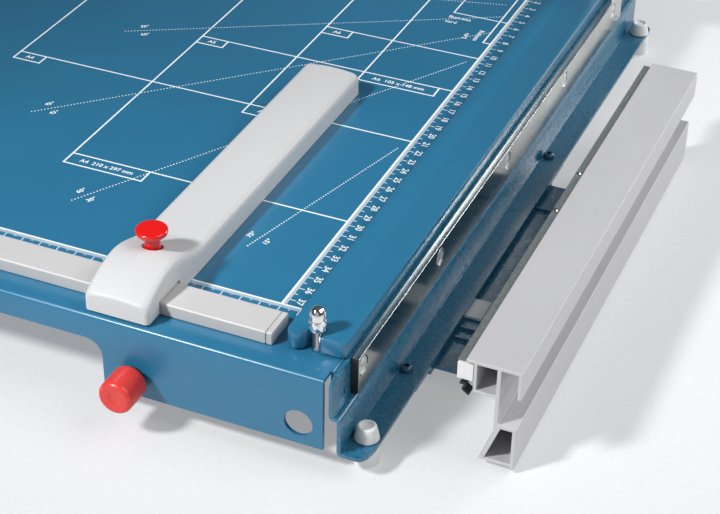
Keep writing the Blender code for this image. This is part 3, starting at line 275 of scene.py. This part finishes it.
EVEN = (1.0, 1.0, 1.0)
ALONG_Y = (1.0, 0.015, 1.0)
FINISH = {
    "table_blue": coated("table_blue", (0.020, 0.158, 0.290), 0.34, (1500.0, 0.10, 0.02),
                         0.05, 0.5, 0.25),
    "rail_blue": coated("rail_blue", (0.024, 0.172, 0.298), 0.26, (520.0, 0.14, 0.03),
                        0.06, 0.6, 0.35, 7.0, 0.95),
    "clamp_blue": coated("clamp_blue", (0.020, 0.156, 0.285), 0.28, (700.0, 0.02, 0.01),
                         0.04, 0.6, 0.35),
    # the knife's darker patches are painted reflection
    "blade_steel": bare_metal("blade_steel", (0.62, 0.63, 0.60), 0.13, (1800.0, 0.10, 0.02),
                              ALONG_Y, 0.10, 1.0, (60.0, (0.5, 0.8), 0.5, (0.20, 0.205, 0.20))),
    "bright_steel": bare_metal("bright_steel", (0.82, 0.82, 0.83), 0.08, (1200.0, 0.05, 0.01),
                               EVEN, 0.05),
    "zinc_steel": bare_metal("zinc_steel", (0.62, 0.63, 0.64), 0.24, (900.0, 0.12, 0.02),
                             EVEN, 0.15),
    "spring_steel": bare_metal("spring_steel", (0.70, 0.71, 0.73), 0.22, (900.0, 0.08, 0.02),
                               EVEN, 0.1),
    "aluminium": bare_metal("aluminium", (0.565, 0.56, 0.58), 0.45, (2600.0, 0.06, 0.008),
                            ALONG_Y, 0.015, 0.25),
    "cast_aluminium": bare_metal("cast_aluminium", (0.50, 0.51, 0.53), 0.50, (700.0, 0.35, 0.10),
                                 EVEN, 0.12),
    "rail_grey": coated("rail_grey", (0.530, 0.526, 0.522), 0.42, (1800.0, 0.08, 0.02), 0.02, 0.4),
    "stop_grey": coated("stop_grey", (0.590, 0.594, 0.600), 0.44, (1500.0, 0.40, 0.07), 0.02, 0.4),
    "red": coated("red", (0.72, 0.006, 0.005), 0.16, (260.0, 0.04, 0.03), 0.04, 0.5, 0.35, 60.0),
    "white": coated("white", (0.78, 0.78, 0.77), 0.40, (1500.0, 0.10, 0.02), 0.02),
    "black": coated("black", (0.015, 0.015, 0.017), 0.40, (1400.0, 0.25, 0.04), 0.15),
    "strip_grey": speckled("strip_grey", (0.075, 0.090, 0.090), (0.22, 0.24, 0.235), 0.45),
    "foot_grey": coated("foot_grey", (0.76, 0.775, 0.765), 0.50, (1500.0, 0.12, 0.03), 0.04, 0.4),
    "rubber": coated("rubber", (0.028, 0.028, 0.028), 0.65, (1500.0, 0.25, 0.05), 0.15, 0.3),
}
BOLT_STEEL = bare_metal("bolt_steel", (0.80, 0.80, 0.80), 0.34, (1500.0, 0.08, 0.02), EVEN,
                        0.08, 0.7)
KNOB_RED = coated("knob_red", (0.70, 0.045, 0.035), 0.30, (420.0, 0.06, 0.02), 0.06, 0.4, 0.1, 60.0)
PAD_WHITE = coated("pad_white", (0.74, 0.76, 0.77), 0.35, (1600.0, 0.15, 0.03), 0.04)
SCREW_BLUE = coated("screw_blue", (0.010, 0.060, 0.115), 0.16, (900.0, 0.20, 0.05), 0.1, 0.7, 0.6)
INK_WHITE = coated("ink_white", (0.88, 0.93, 0.95), 0.45, (1800.0, 0.05, 0.01), 0.02, 0.3)
STRIPE_GREY = coated("stripe_grey", (0.42, 0.50, 0.55), 0.45, (1800.0, 0.05, 0.01), 0.03, 0.3)


# ------------------------------------------------------------------ mesh helpers

def link(name, mesh, material, at=None):
    obj = bpy.data.objects.new(name, mesh)
    obj.data.materials.clear()
    obj.data.materials.append(material)
    bpy.context.scene.collection.objects.link(obj)
    if at is not None:
        obj.location = place(*at)
    return obj


def add_bevel(obj, width, segments=2):
    mod = obj.modifiers.new("edge", "BEVEL")
    mod.width = width * MM
    mod.segments = segments
    mod.limit_method = "ANGLE"
    mod.angle_limit = math.radians(ROUND_FROM)
    mod.harden_normals = True
    mod.use_clamp_overlap = True


def stands_for(obj, node):
    """obj rides with this CAD node's body and replaces it, the node hidden."""
    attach(obj, frame["nodes"][node]["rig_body"])
    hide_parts(node)
    return obj


def clean_copy(node):
    """The node's faces as a fresh mesh, welded and with coplanar faces joined."""
    source = frame["nodes"][node].data
    mesh = bpy.data.meshes.new(node + "_skin")
    corners = [tuple(face.vertices) for face in source.polygons]
    mesh.from_pydata([v.co for v in source.vertices], [], corners)
    bm = bmesh.new()
    bm.from_mesh(mesh)
    bmesh.ops.remove_doubles(bm, verts=bm.verts, dist=WELD * MM)
    bmesh.ops.dissolve_limit(bm, angle_limit=math.radians(FLAT_WITHIN), verts=bm.verts,
                             edges=bm.edges)
    bmesh.ops.recalc_face_normals(bm, faces=bm.faces)
    bm.to_mesh(mesh)
    bm.free()
    mesh.shade_smooth()
    return mesh


def dress(node, bevel, material):
    """Shows a copy of the node with rounded edges in its place."""
    obj = link(node + "_skin", clean_copy(node), material)
    add_bevel(obj, bevel)
    stands_for(obj, node)


def fillet(profile, radius, steps=4):
    """The profile with each corner but its two ends rounded by up to radius."""
    points = [Vector(p) for p in profile]
    result = [points[0]]
    for before, corner, after in zip(points, points[1:], points[2:]):
        back, ahead = before - corner, after - corner
        reach = min(radius, back.length * 0.45, ahead.length * 0.45)
        start, end = corner + back.normalized() * reach, corner + ahead.normalized() * reach
        for k in range(steps + 1):
            t = k / steps
            result.append(start * (1 - t) ** 2 + corner * 2 * t * (1 - t) + end * t * t)
    return [tuple(p) for p in result + [points[-1]]]


def lathe_mesh(name, profile, sides=SIDES):
    """Closed body from (radius, height) pairs in mm swept about Z; both ends lie on the axis."""
    mesh = bpy.data.meshes.new(name)
    bm = bmesh.new()
    rings = []
    for radius, height in profile:
        if radius < 0.001:
            rings.append([bm.verts.new((0.0, 0.0, height * MM))])
            continue
        ring = []
        for k in range(sides):
            angle = math.tau * k / sides
            ring.append(bm.verts.new((radius * math.cos(angle) * MM, radius * math.sin(angle) * MM,
                                      height * MM)))
        rings.append(ring)
    for upper, lower in zip(rings, rings[1:]):
        for k in range(sides):
            after = (k + 1) % sides
            corners = [upper[k % len(upper)], upper[after % len(upper)],
                       lower[after % len(lower)], lower[k % len(lower)]]
            corners = list(dict.fromkeys(corners))
            if len(corners) > 2:
                bm.faces.new(corners)
    bmesh.ops.recalc_face_normals(bm, faces=bm.faces)
    bm.to_mesh(mesh)
    bm.free()
    mesh.shade_smooth()
    mesh.set_sharp_from_angle(angle=math.radians(40.0))
    return mesh


TURN = {
    "+Z": Matrix.Identity(4),
    "+X": Matrix.Rotation(math.pi / 2, 4, "Y"),
    "-Y": Matrix.Rotation(math.pi / 2, 4, "X"),
}


def lathe(name, profile, at, material, axis="+Z", round_by=0.3):
    mesh = lathe_mesh(name, fillet(profile, round_by))
    mesh.transform(TURN[axis])
    return link(name, mesh, material, at)


def box_mesh(name, ranges):
    """Box of three (low, high) pairs in mm about its own origin."""
    mesh = bpy.data.meshes.new(name)
    bm = bmesh.new()
    bmesh.ops.create_cube(bm, size=1.0)
    for axis, (low, high) in enumerate(ranges):
        for vert in bm.verts:
            vert.co[axis] = (high if vert.co[axis] > 0 else low) * MM
    bm.to_mesh(mesh)
    bm.free()
    return mesh


def carve(obj, mesh, at=(0.0, 0.0, 0.0), turn=None):
    """Cuts a mesh out of obj for good."""
    cutter = bpy.data.objects.new("cutter", mesh)
    bpy.context.scene.collection.objects.link(cutter)
    if turn is not None:
        mesh.transform(turn)
    cutter.location = place(*at)
    mod = obj.modifiers.new("cut", "BOOLEAN")
    mod.operation = "DIFFERENCE"
    mod.solver = "EXACT"
    mod.object = cutter
    bpy.context.view_layer.update()
    graph = bpy.context.evaluated_depsgraph_get()
    result = bpy.data.meshes.new_from_object(obj.evaluated_get(graph))
    obj.modifiers.clear()
    obj.data = result
    bpy.data.objects.remove(cutter, do_unlink=True)
    obj.data.shade_smooth()
    obj.data.set_sharp_from_angle(angle=math.radians(35.0))
    return obj


# ------------------------------------------------------------------ pressed and extruded pieces

EDGES = {                      # CAD node: rounding of its edges in mm
    "base_tray": 0.45, "side_rail": 0.6, "left_rail": 0.45, "clamp_bar": 0.9, "knife": 0.18,
    "near_rail": 0.3, "near_rail_cap_1": 0.35, "near_rail_cap_2": 0.35, "far_fence": 0.4,
    "stop_profile": 0.3, "stop_insert": 0.3, "stop_strip": 0.15, "stop_clip": 0.1,
    "stop_bracket": 0.3, "carriage_plate": 0.3, "carriage_guide_near": 0.4,
    "carriage_guide_far": 0.4, "guide_pad": 0.3, "blade_arm": 0.6, "upper_blade": 0.15,
    "pivot_bracket": 0.6, "shaft_bush": 0.2,
}
OWN_FINISH = {"guide_pad": PAD_WHITE}
NEAR_FACING = -0.9             # Y of the normal of a face that looks toward the user
NEAR_END = 60.0
for node_name, edge in EDGES.items():
    dress(node_name, edge, OWN_FINISH.get(node_name, FINISH[SLOT_OF[node_name]]))


def blacken_knife_end():
    """The knife's end nearest the user is not ground but black."""
    skin = bpy.data.objects["knife_skin"]
    skin.data.materials.append(FINISH["black"])
    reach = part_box("knife")[0].y + NEAR_END * MM
    for face in skin.data.polygons:
        if face.normal.y < NEAR_FACING and face.center.y < reach:
            face.material_index = 1


blacken_knife_end()


# ------------------------------------------------------------------ backstop

STOP_X = (-131.3, -97.5)
STOP_Y = (-418.5, -172.3)
STOP_TOP = 12.7
STOP_HUMP = 20.3
STOP_RISE_Y = (-359.5, -391.5)
STOP_BROW_Z = 11.0
STOP_FALL = 1.8                # how late the top drops from its crest to the near end
STOP_CROWN = 0.9
STOP_EDGE = 4.3
STOP_CORNER = 2.4
STOP_FAR_EDGE = 1.8
STOP_NEAR_EDGE = 0.8
ARC_STEPS = 10
CROWN_STEPS = 5
FALL_STEPS = 20
RISE_STEPS = 24
STOP_SADDLE = ((-407.6, -387.2), (1.5, 8.0))
STOP_BOTTOM_Z = 0.3
BUTTON_AT = (-113.7, -383.0)
PAST = 30.0                    # how far a cut runs past what it cuts


def stop_top(y):
    """Height of the backstop's shoulders along its length."""
    start, crest = STOP_RISE_Y
    if y >= start:
        return STOP_TOP
    if y > crest:
        t = (start - y) / (start - crest)
        return STOP_TOP + (STOP_HUMP - STOP_TOP) * t * t * (3 - 2 * t)
    t = min(1.0, (crest - y) / (crest - STOP_Y[0]))
    return STOP_HUMP - (STOP_HUMP - STOP_BROW_Z) * t ** STOP_FALL


def round_end(distance, radius):
    """How far a rounded end has drawn in at this distance from its tip."""
    inside = max(0.0, radius - distance)
    return radius - math.sqrt(max(0.0, radius * radius - inside * inside))


def stop_section(y):
    """Flat sides, rounded shoulders and a slightly crowned top."""
    to_end = min(y - STOP_Y[0], STOP_Y[1] - y)
    half = (STOP_X[1] - STOP_X[0]) / 2 - round_end(to_end, STOP_CORNER)
    top = stop_top(y) - round_end(STOP_Y[1] - y, STOP_FAR_EDGE)
    top -= round_end(y - STOP_Y[0], STOP_NEAR_EDGE)
    flat = half - STOP_EDGE
    right = []
    for k in range(ARC_STEPS + 1):
        angle = math.radians(90.0 * k / ARC_STEPS)
        right.append((flat + STOP_EDGE * math.cos(angle), top - STOP_EDGE * (1 - math.sin(angle))))
    for k in range(CROWN_STEPS - 1, 0, -1):
        across = k / CROWN_STEPS
        right.append((flat * across, top + STOP_CROWN * (1 - across ** 2)))
    left = [(-x, z) for x, z in right[::-1]]
    return ([(half, STOP_BOTTOM_Z)] + right + [(0.0, top + STOP_CROWN)] + left
            + [(-half, STOP_BOTTOM_Z)])


def stop_stations():
    near, far = STOP_Y
    start, crest = STOP_RISE_Y
    """Places along Y where the backstop's section is drawn, closer together at its ends."""
    corner = [STOP_CORNER * (1 - math.cos(math.radians(90.0 * k / ARC_STEPS)))
              for k in range(ARC_STEPS + 1)]
    stations = [near + step for step in corner]
    fall = crest - stations[-1]
    stations += [stations[-1] + fall * k / FALL_STEPS for k in range(1, FALL_STEPS + 1)]
    stations += [crest + (start - crest) * k / RISE_STEPS for k in range(1, RISE_STEPS + 1)]
    return stations + [far - step for step in corner[::-1]]


def make_backstop():
    middle = sum(STOP_X) / 2
    mesh = bpy.data.meshes.new("backstop_shell")
    bm = bmesh.new()
    rings = [[bm.verts.new((x * MM, y * MM, z * MM)) for x, z in stop_section(y)]
             for y in stop_stations()]
    for near, far in zip(rings, rings[1:]):
        for k in range(len(near)):
            after = (k + 1) % len(near)
            bm.faces.new((near[k], near[after], far[after], far[k]))
    bm.faces.new(rings[0])
    bm.faces.new(rings[-1][::-1])
    bmesh.ops.recalc_face_normals(bm, faces=bm.faces)
    bm.to_mesh(mesh)
    bm.free()
    arm = link("backstop_shell", mesh, FINISH["stop_grey"], (middle, 0.0, 0.0))
    (saddle_near, saddle_far), (lip_z, saddle_z) = STOP_SADDLE
    for name, y_range, top in (("saddle", (saddle_near, saddle_far), saddle_z),
                               ("lip", (STOP_Y[0] - PAST, saddle_near + 1), lip_z)):
        carve(arm, box_mesh(name, ((-PAST, PAST), y_range, (-2.0, top))), (middle, 0.0, 0.0))
    well = [(0.0, 40.0), (5.35, 40.0), (5.35, 15.6), (4.4, 15.6), (4.4, 14.0), (6.5, 14.0),
            (6.5, -2.0), (0.0, -2.0)]
    carve(arm, lathe_mesh("well", well), (*BUTTON_AT, 0.0))
    stands_for(arm, "backstop_arm")


def make_button():
    profile = [(0.0, 30.0), (6.4, 30.1), (7.4, 29.95), (7.9, 29.2), (7.7, 27.6), (7.1, 26.9),
               (5.2, 26.4), (4.3, 25.6), (3.9, 24.2), (3.8, 22.2), (4.0, 19.8), (4.0, 13.7),
               (5.9, 13.7), (5.9, 11.0), (0.0, 11.0)]
    stands_for(lathe("stop_button_cap", profile, (*BUTTON_AT, 0.0), FINISH["red"], "+Z", 0.4),
               "backstop_button")


make_backstop()
make_button()


# ------------------------------------------------------------------ knob, feet, screws, nuts

KNOB_AXIS = (-105.4, 0.0, -28.4)
FOOT_AT = ((6.6, -404.0), (8.2, 45.5), (-351.5, -404.0), (-351.5, 45.5))
FOOT_TOP = -32.4
FOOT_BOTTOM = -53.5
KNIFE_BOLT_Y = (-393.8, -297.0, -196.0, -95.5, 3.0)
KNIFE_BOLT_Z = -7.0
BOLT_HOLES = (-2.6, 0.0, 2.6)
FLANGE_SCREW_X = 4.0
FLANGE_SCREW_Y = (-349.0, -129.0)
FLANGE_TOP = -39.7
STUD_AT = ((-20.5, -399.5), (-20.5, 16.1))


def make_knob():
    profile = [(0.0, 439.5), (2.5, 439.7), (3.4, 440.1), (6.6, 440.3), (7.5, 440.2), (8.4, 439.3),
               (8.75, 438.2), (8.85, 432.0), (8.8, 425.6), (8.3, 424.2), (7.4, 424.0), (3.3, 424.0),
               (3.3, 434.3), (0.0, 434.3)]
    knob = lathe("strip_stop_knob", profile, KNOB_AXIS, KNOB_RED, "-Y", 0.35)
    stands_for(knob, "front_knob")


def make_feet():
    top, bottom = FOOT_TOP, FOOT_BOTTOM
    profile = [(0.0, top - 0.9), (2.6, top - 0.8), (3.3, top), (4.2, top), (4.65, top - 0.6),
               (6.15, -39.7), (2.5, -39.7), (2.5, -42.3), (6.5, -42.3), (6.5, bottom + 0.8),
               (5.8, bottom), (0.0, bottom)]
    for number, at in enumerate(FOOT_AT, 1):
        foot = lathe(f"rubber_foot_{number}", profile, (*at, 0.0), FINISH["foot_grey"], "+Z", 0.5)
        stands_for(foot, f"foot_{number}")


def make_knife_bolts():
    profile = [(0.0, -0.4), (3.6, -0.4), (3.7, -0.65), (3.9, -0.65), (4.0, -0.4), (4.4, -0.4),
               (4.7, -0.7), (4.7, -3.7), (2.4, -3.7), (2.4, -11.5), (0.0, -11.5)]
    for number, y in enumerate(KNIFE_BOLT_Y, 1):
        at = (0.0, y, KNIFE_BOLT_Z)
        bolt = lathe(f"knife_bolt_head_{number}", profile, at, BOLT_STEEL, "+X", 0.1)
        turn = Matrix.Rotation(math.radians(20.0 + 47.0 * number), 4, "X")
        for side in BOLT_HOLES:
            hole = lathe_mesh("hole", [(0.0, 1.0), (0.75, 1.0), (0.75, -1.6), (0.0, -1.6)], 16)
            hole.transform(Matrix.Translation((0.0, 0.0, side * MM)) @ TURN["+X"])
            carve(bolt, hole, at, turn)
        stands_for(bolt, f"knife_bolt_{number}")


def make_flange_screws():
    profile = [(0.0, 2.6), (1.9, 2.6), (2.8, 2.1), (3.35, 1.1), (3.4, 0.0), (1.7, 0.0), (1.7, -4.2),
               (0.0, -4.2)]
    for number, y in enumerate(FLANGE_SCREW_Y, 1):
        at = (FLANGE_SCREW_X, y, FLANGE_TOP)
        screw = lathe(f"socket_screw_{number}", profile, at, SCREW_BLUE, "+Z", 0.5)
        socket = lathe_mesh("socket", [(0.0, 4.0), (1.45, 4.0), (1.45, 1.0), (0.0, 0.6)], 6)
        carve(screw, socket, at)
        stands_for(screw, f"flange_screw_{number}")


def thread(radius, low, high, pitch=0.8, depth=0.28):
    """Zigzag outline of a threaded shank, from its top down."""
    count = int((high - low) / pitch)
    points = []
    for k in range(count):
        points += [(radius, high - k * pitch), (radius - depth, high - (k + 0.5) * pitch)]
    return points + [(radius, low)]


def make_studs_and_nuts():
    for number, (x, y) in enumerate(STUD_AT, 1):
        profile = [(0.0, 18.8), (2.1, 18.8), *thread(2.5, 0.4, 18.4), (2.5, -2.6), (4.4, -2.6),
                   (4.4, -5.6), (0.0, -5.6)]
        mesh = lathe_mesh(f"threaded_stud_{number}", profile, 40)
        stud = link(f"threaded_stud_{number}", mesh, FINISH["bright_steel"], (x, y, 0.0))
        stands_for(stud, f"clamp_stud_{number}")
        dome = [(0.0, 23.5), (1.0, 23.4), (2.1, 22.9), (3.0, 22.0), (3.6, 20.8), (3.8, 19.6),
                (3.8, 16.9), (4.2, 16.5), (4.55, 15.4), (4.6, 12.6), (4.3, 11.5), (2.8, 11.5),
                (2.8, 19.4), (0.0, 19.5)]
        nut = lathe(f"domed_nut_{number}", dome, (x, y, 0.0), FINISH["bright_steel"], "+Z", 0.35)
        for turn in range(6):
            flat = box_mesh("flat", ((3.95, 8.0), (-8.0, 8.0), (9.0, 16.75)))
            carve(nut, flat, (x, y, 0.0), Matrix.Rotation(math.radians(15.0 + 60.0 * turn), 4, "Z"))
        stands_for(nut, f"acorn_nut_{number}")


make_knob()
make_feet()
make_knife_bolts()
make_flange_screws()
make_studs_and_nuts()


# ------------------------------------------------------------------ nodes kept from the CAD

for node_name, node in frame["nodes"].items():
    if not node.hide_render:
        for index in range(len(node.data.materials)):
            node.data.materials[index] = FINISH[SLOT_OF[node_name]]


# ------------------------------------------------------------------ printed scales and formats

class Print:
    """Collects flat marks and letters on the tabletop into one mesh."""

    def __init__(self, height):
        self.bm = bmesh.new()
        self.height = height
        self.letters = []

    def polygon(self, points, lift=0.0):
        self.bm.faces.new([self.bm.verts.new(place(x, y, self.height + lift)) for x, y in points])

    def block(self, x_range, y_range):
        (left, right), (near, far) = x_range, y_range
        self.polygon([(left, near), (right, near), (right, far), (left, far)])

    def stroke(self, start, end, weight, lift=0.0):
        start, end = Vector(start), Vector(end)
        along = (end - start).normalized() * weight / 2
        side = Vector((-along.y, along.x))
        start, end = start - along, end + along
        self.polygon([start - side, end - side, end + side, start + side], lift)

    def write(self, text, at, cap, degrees=0.0, align="CENTER"):
        curve = bpy.data.curves.new("letters", "FONT")
        curve.body = text
        curve.size = cap / CAP_RATIO * MM
        curve.offset = cap * BOLDER * MM
        curve.align_x = align
        curve.align_y = "CENTER"
        curve.resolution_u = 3
        obj = bpy.data.objects.new("letters", curve)
        bpy.context.scene.collection.objects.link(obj)
        obj.matrix_world = (Matrix.Translation(place(*at, self.height))
                            @ Matrix.Rotation(math.radians(degrees), 4, "Z"))
        self.letters.append(obj)

    def finish(self, name, material):
        bpy.context.view_layer.update()
        graph = bpy.context.evaluated_depsgraph_get()
        for obj in self.letters:
            mesh = bpy.data.meshes.new_from_object(obj.evaluated_get(graph))
            mesh.transform(obj.matrix_world)
            self.bm.from_mesh(mesh)
            bpy.data.meshes.remove(mesh)
        for obj in self.letters:
            bpy.data.objects.remove(obj, do_unlink=True)
        mesh = bpy.data.meshes.new(name)
        self.bm.to_mesh(mesh)
        self.bm.free()
        obj = link(name, mesh, material)
        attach(obj, "base")
        return obj


def print_blade_ruler():
    ink = Print(INK_Z)
    ink.block(BAND_LINE, (BAND_END_Y, -0.5))
    start = BAND_STRIPE[1]
    for half_cm in range(1, 75):
        y = -5.0 * half_cm
        whole = half_cm % 2 == 0
        ink.block((start, start + BAND_TICKS[0 if whole else 1]), (y - TICK / 2, y + TICK / 2))
        if whole:
            ink.write(str(half_cm // 2), (BAND_NUMBER_X, y), CAP_HEIGHT["blade_ruler"], -90.0)
    ink.finish("ink_blade_ruler", INK_WHITE)
    # a flat grey stripe beside the band's white line, drawn a little below the white marks
    stripe = Print(STRIPE_Z)
    stripe.block(BAND_STRIPE, (BAND_END_Y, -0.5))
    stripe.finish("grey_band_stripe", STRIPE_GREY)


def print_near_ruler():
    ink = Print(INK_Z)
    ink.block(NEAR_LINE_X, (NEAR_LINE_Y - 0.2, NEAR_LINE_Y + 0.7))
    for step in range(40, 358):
        long, middle, short = NEAR_TICKS
        drop = long if step % 10 == 0 else middle if step % 5 == 0 else short
        ink.block((-step - NEAR_TICK / 2, -step + NEAR_TICK / 2),
                  (NEAR_LINE_Y - drop, NEAR_LINE_Y - 0.2))
        if step % 10 == 0:
            ink.write(str(step // 10), (-step + 0.9, NEAR_NUMBER_Y), CAP_HEIGHT["near_ruler"],
                      0.0, "LEFT")
    ink.finish("ink_near_ruler", INK_WHITE)


def print_formats():
    ink = Print(INK_Z)
    for width in sorted({w for w, h in FORMATS}):
        reach = max(h for w, h in FORMATS if w == width)
        ink.stroke((-width, -1.0), (-width, -reach), FORMAT_WEIGHT)
    for height in sorted({h for w, h in FORMATS}):
        reach = max(w for w, h in FORMATS if h == height)
        ink.stroke((-reach, -height), (BAND_LINE[0], -height), FORMAT_WEIGHT, INK_LIFT)
    cap = CAP_HEIGHT["formats"]
    for labels, (width, height) in ((LONG_LABELS, LONG_BOX), (SHORT_LABELS, SHORT_BOX)):
        for x, y, text in labels:
            low = y - height
            ink.stroke((x, y - FORMAT_WEIGHT / 2), (x, low), FORMAT_WEIGHT, INK_LIFT * 2)
            ink.stroke((x, low), (x + width, low), FORMAT_WEIGHT, INK_LIFT * 3)
            ink.stroke((x + width, low), (x + width, y), FORMAT_WEIGHT, INK_LIFT * 4)
            ink.write(text, (x + width / 2, y - height * LABEL_DROP), cap)
    for text, at in zip(CARD_WORDS, CARD_ALONG):
        ink.write(text, at, cap, 0.0, "LEFT")
    for text, at in zip(CARD_WORDS, CARD_UP):
        ink.write(text, at, cap, -90.0, "RIGHT")
    ink.finish("ink_formats", INK_WHITE)


def print_angles():
    ink = Print(INK_Z)
    size, step = DOT
    flat_start, start, steep_start = ANGLE_CLEAR
    for degrees, reach, label_at, upper, lower in ANGLES:
        along = Vector((math.cos(math.radians(degrees)), math.sin(math.radians(degrees))))
        side = Vector((-along.y, along.x))
        centre = Vector(ANGLE_CENTRE)
        distance = max(flat_start if degrees < 60 else 0.0,
                       start / along.x if along.x > 0.3 else steep_start)
        while distance < reach:
            point = centre - along * distance
            ink.stroke(point, point + along * 0.01, size)
            distance += step
        for text, shift in ((upper, ANGLE_LABEL_ASIDE), (lower, -ANGLE_LABEL_ASIDE)):
            ink.write(text, tuple(centre - along * label_at + side * shift),
                      CAP_HEIGHT["angles"], degrees)
    ink.finish("ink_angles", INK_WHITE)


print_blade_ruler()
print_near_ruler()
print_formats()
print_angles()


# ------------------------------------------------------------------ floor, light and camera

def make_floor():
    mesh = bpy.data.meshes.new("floor")
    corners = ((-1, -1), (1, -1), (1, 1), (-1, 1))
    mesh.from_pydata([(FLOOR_REACH * x, FLOOR_REACH * y, 0.0) for x, y in corners],
                     [], [(0, 1, 2, 3)])
    paper = coated("floor_paper", FLOOR_COLOUR, 0.6, (400.0, 0.05, 0.02), 0.008, 0.2, 0.0, 2.0)
    surface = [n for n in paper.node_tree.nodes if n.type == "BSDF_PRINCIPLED"][0]
    surface.inputs["Emission Color"].default_value = (1.0, 1.0, 1.0, 1.0)
    surface.inputs["Emission Strength"].default_value = FLOOR_GLOW
    obj = bpy.data.objects.new("floor", mesh)
    obj.data.materials.append(paper)
    bpy.context.scene.collection.objects.link(obj)


def hang(name, data, direction, distance, power):
    """Puts a light at this distance and direction from the point it is aimed at."""
    data.energy = power
    obj = bpy.data.objects.new(name, data)
    away = Vector(direction).normalized() * distance
    obj.location = place(*AIM) + away
    obj.rotation_euler = (-away).to_track_quat("-Z", "Y").to_euler()
    bpy.context.scene.collection.objects.link(obj)


def make_light():
    """A key that falls off across the table, a soft side, a rim for bent edges, a weak front."""
    key = bpy.data.lights.new("key", "SPOT")
    key.spot_size = math.radians(KEY_CONE)
    key.spot_blend = 1.0
    key.shadow_soft_size = KEY_RADIUS
    hang("key", key, KEY_FROM, KEY_DISTANCE, KEY_POWER)
    for name, direction, distance, size, power in SOFT_LIGHTS:
        data = bpy.data.lights.new(name, "AREA")
        data.shape = "SQUARE"
        data.size = size
        hang(name, data, direction, distance, power)
    world = bpy.data.worlds.new("studio")
    world.use_nodes = True
    background = world.node_tree.nodes["Background"]
    background.inputs["Color"].default_value = (*WORLD_COLOUR, 1.0)
    background.inputs["Strength"].default_value = WORLD_STRENGTH
    bpy.context.scene.world = world


def make_camera():
    azimuth = math.radians(CAMERA_AZIMUTH)
    elevation = math.radians(CAMERA_ELEVATION)
    roll = math.radians(CAMERA_ROLL)
    forward = Vector((-math.sin(azimuth) * math.cos(elevation),
                      math.cos(azimuth) * math.cos(elevation), -math.sin(elevation)))
    level = Vector((math.cos(azimuth), math.sin(azimuth), 0.0))
    up = level.cross(forward)
    right = level * math.cos(roll) + up * math.sin(roll)
    up = up * math.cos(roll) - level * math.sin(roll)
    data = bpy.data.cameras.new("camera")
    data.lens = CAMERA_LENS
    data.sensor_width = 36.0
    data.clip_start = 0.01
    camera = bpy.data.objects.new("camera", data)
    turn = Matrix((right, up, -forward)).transposed().to_4x4()
    camera.matrix_world = Matrix.Translation(place(*CAMERA_AT)) @ turn
    bpy.context.scene.collection.objects.link(camera)
    bpy.context.scene.camera = camera


make_floor()
make_light()
make_camera()
bpy.context.scene.view_settings.view_transform = "Standard"
bpy.context.scene.view_settings.look = "None"
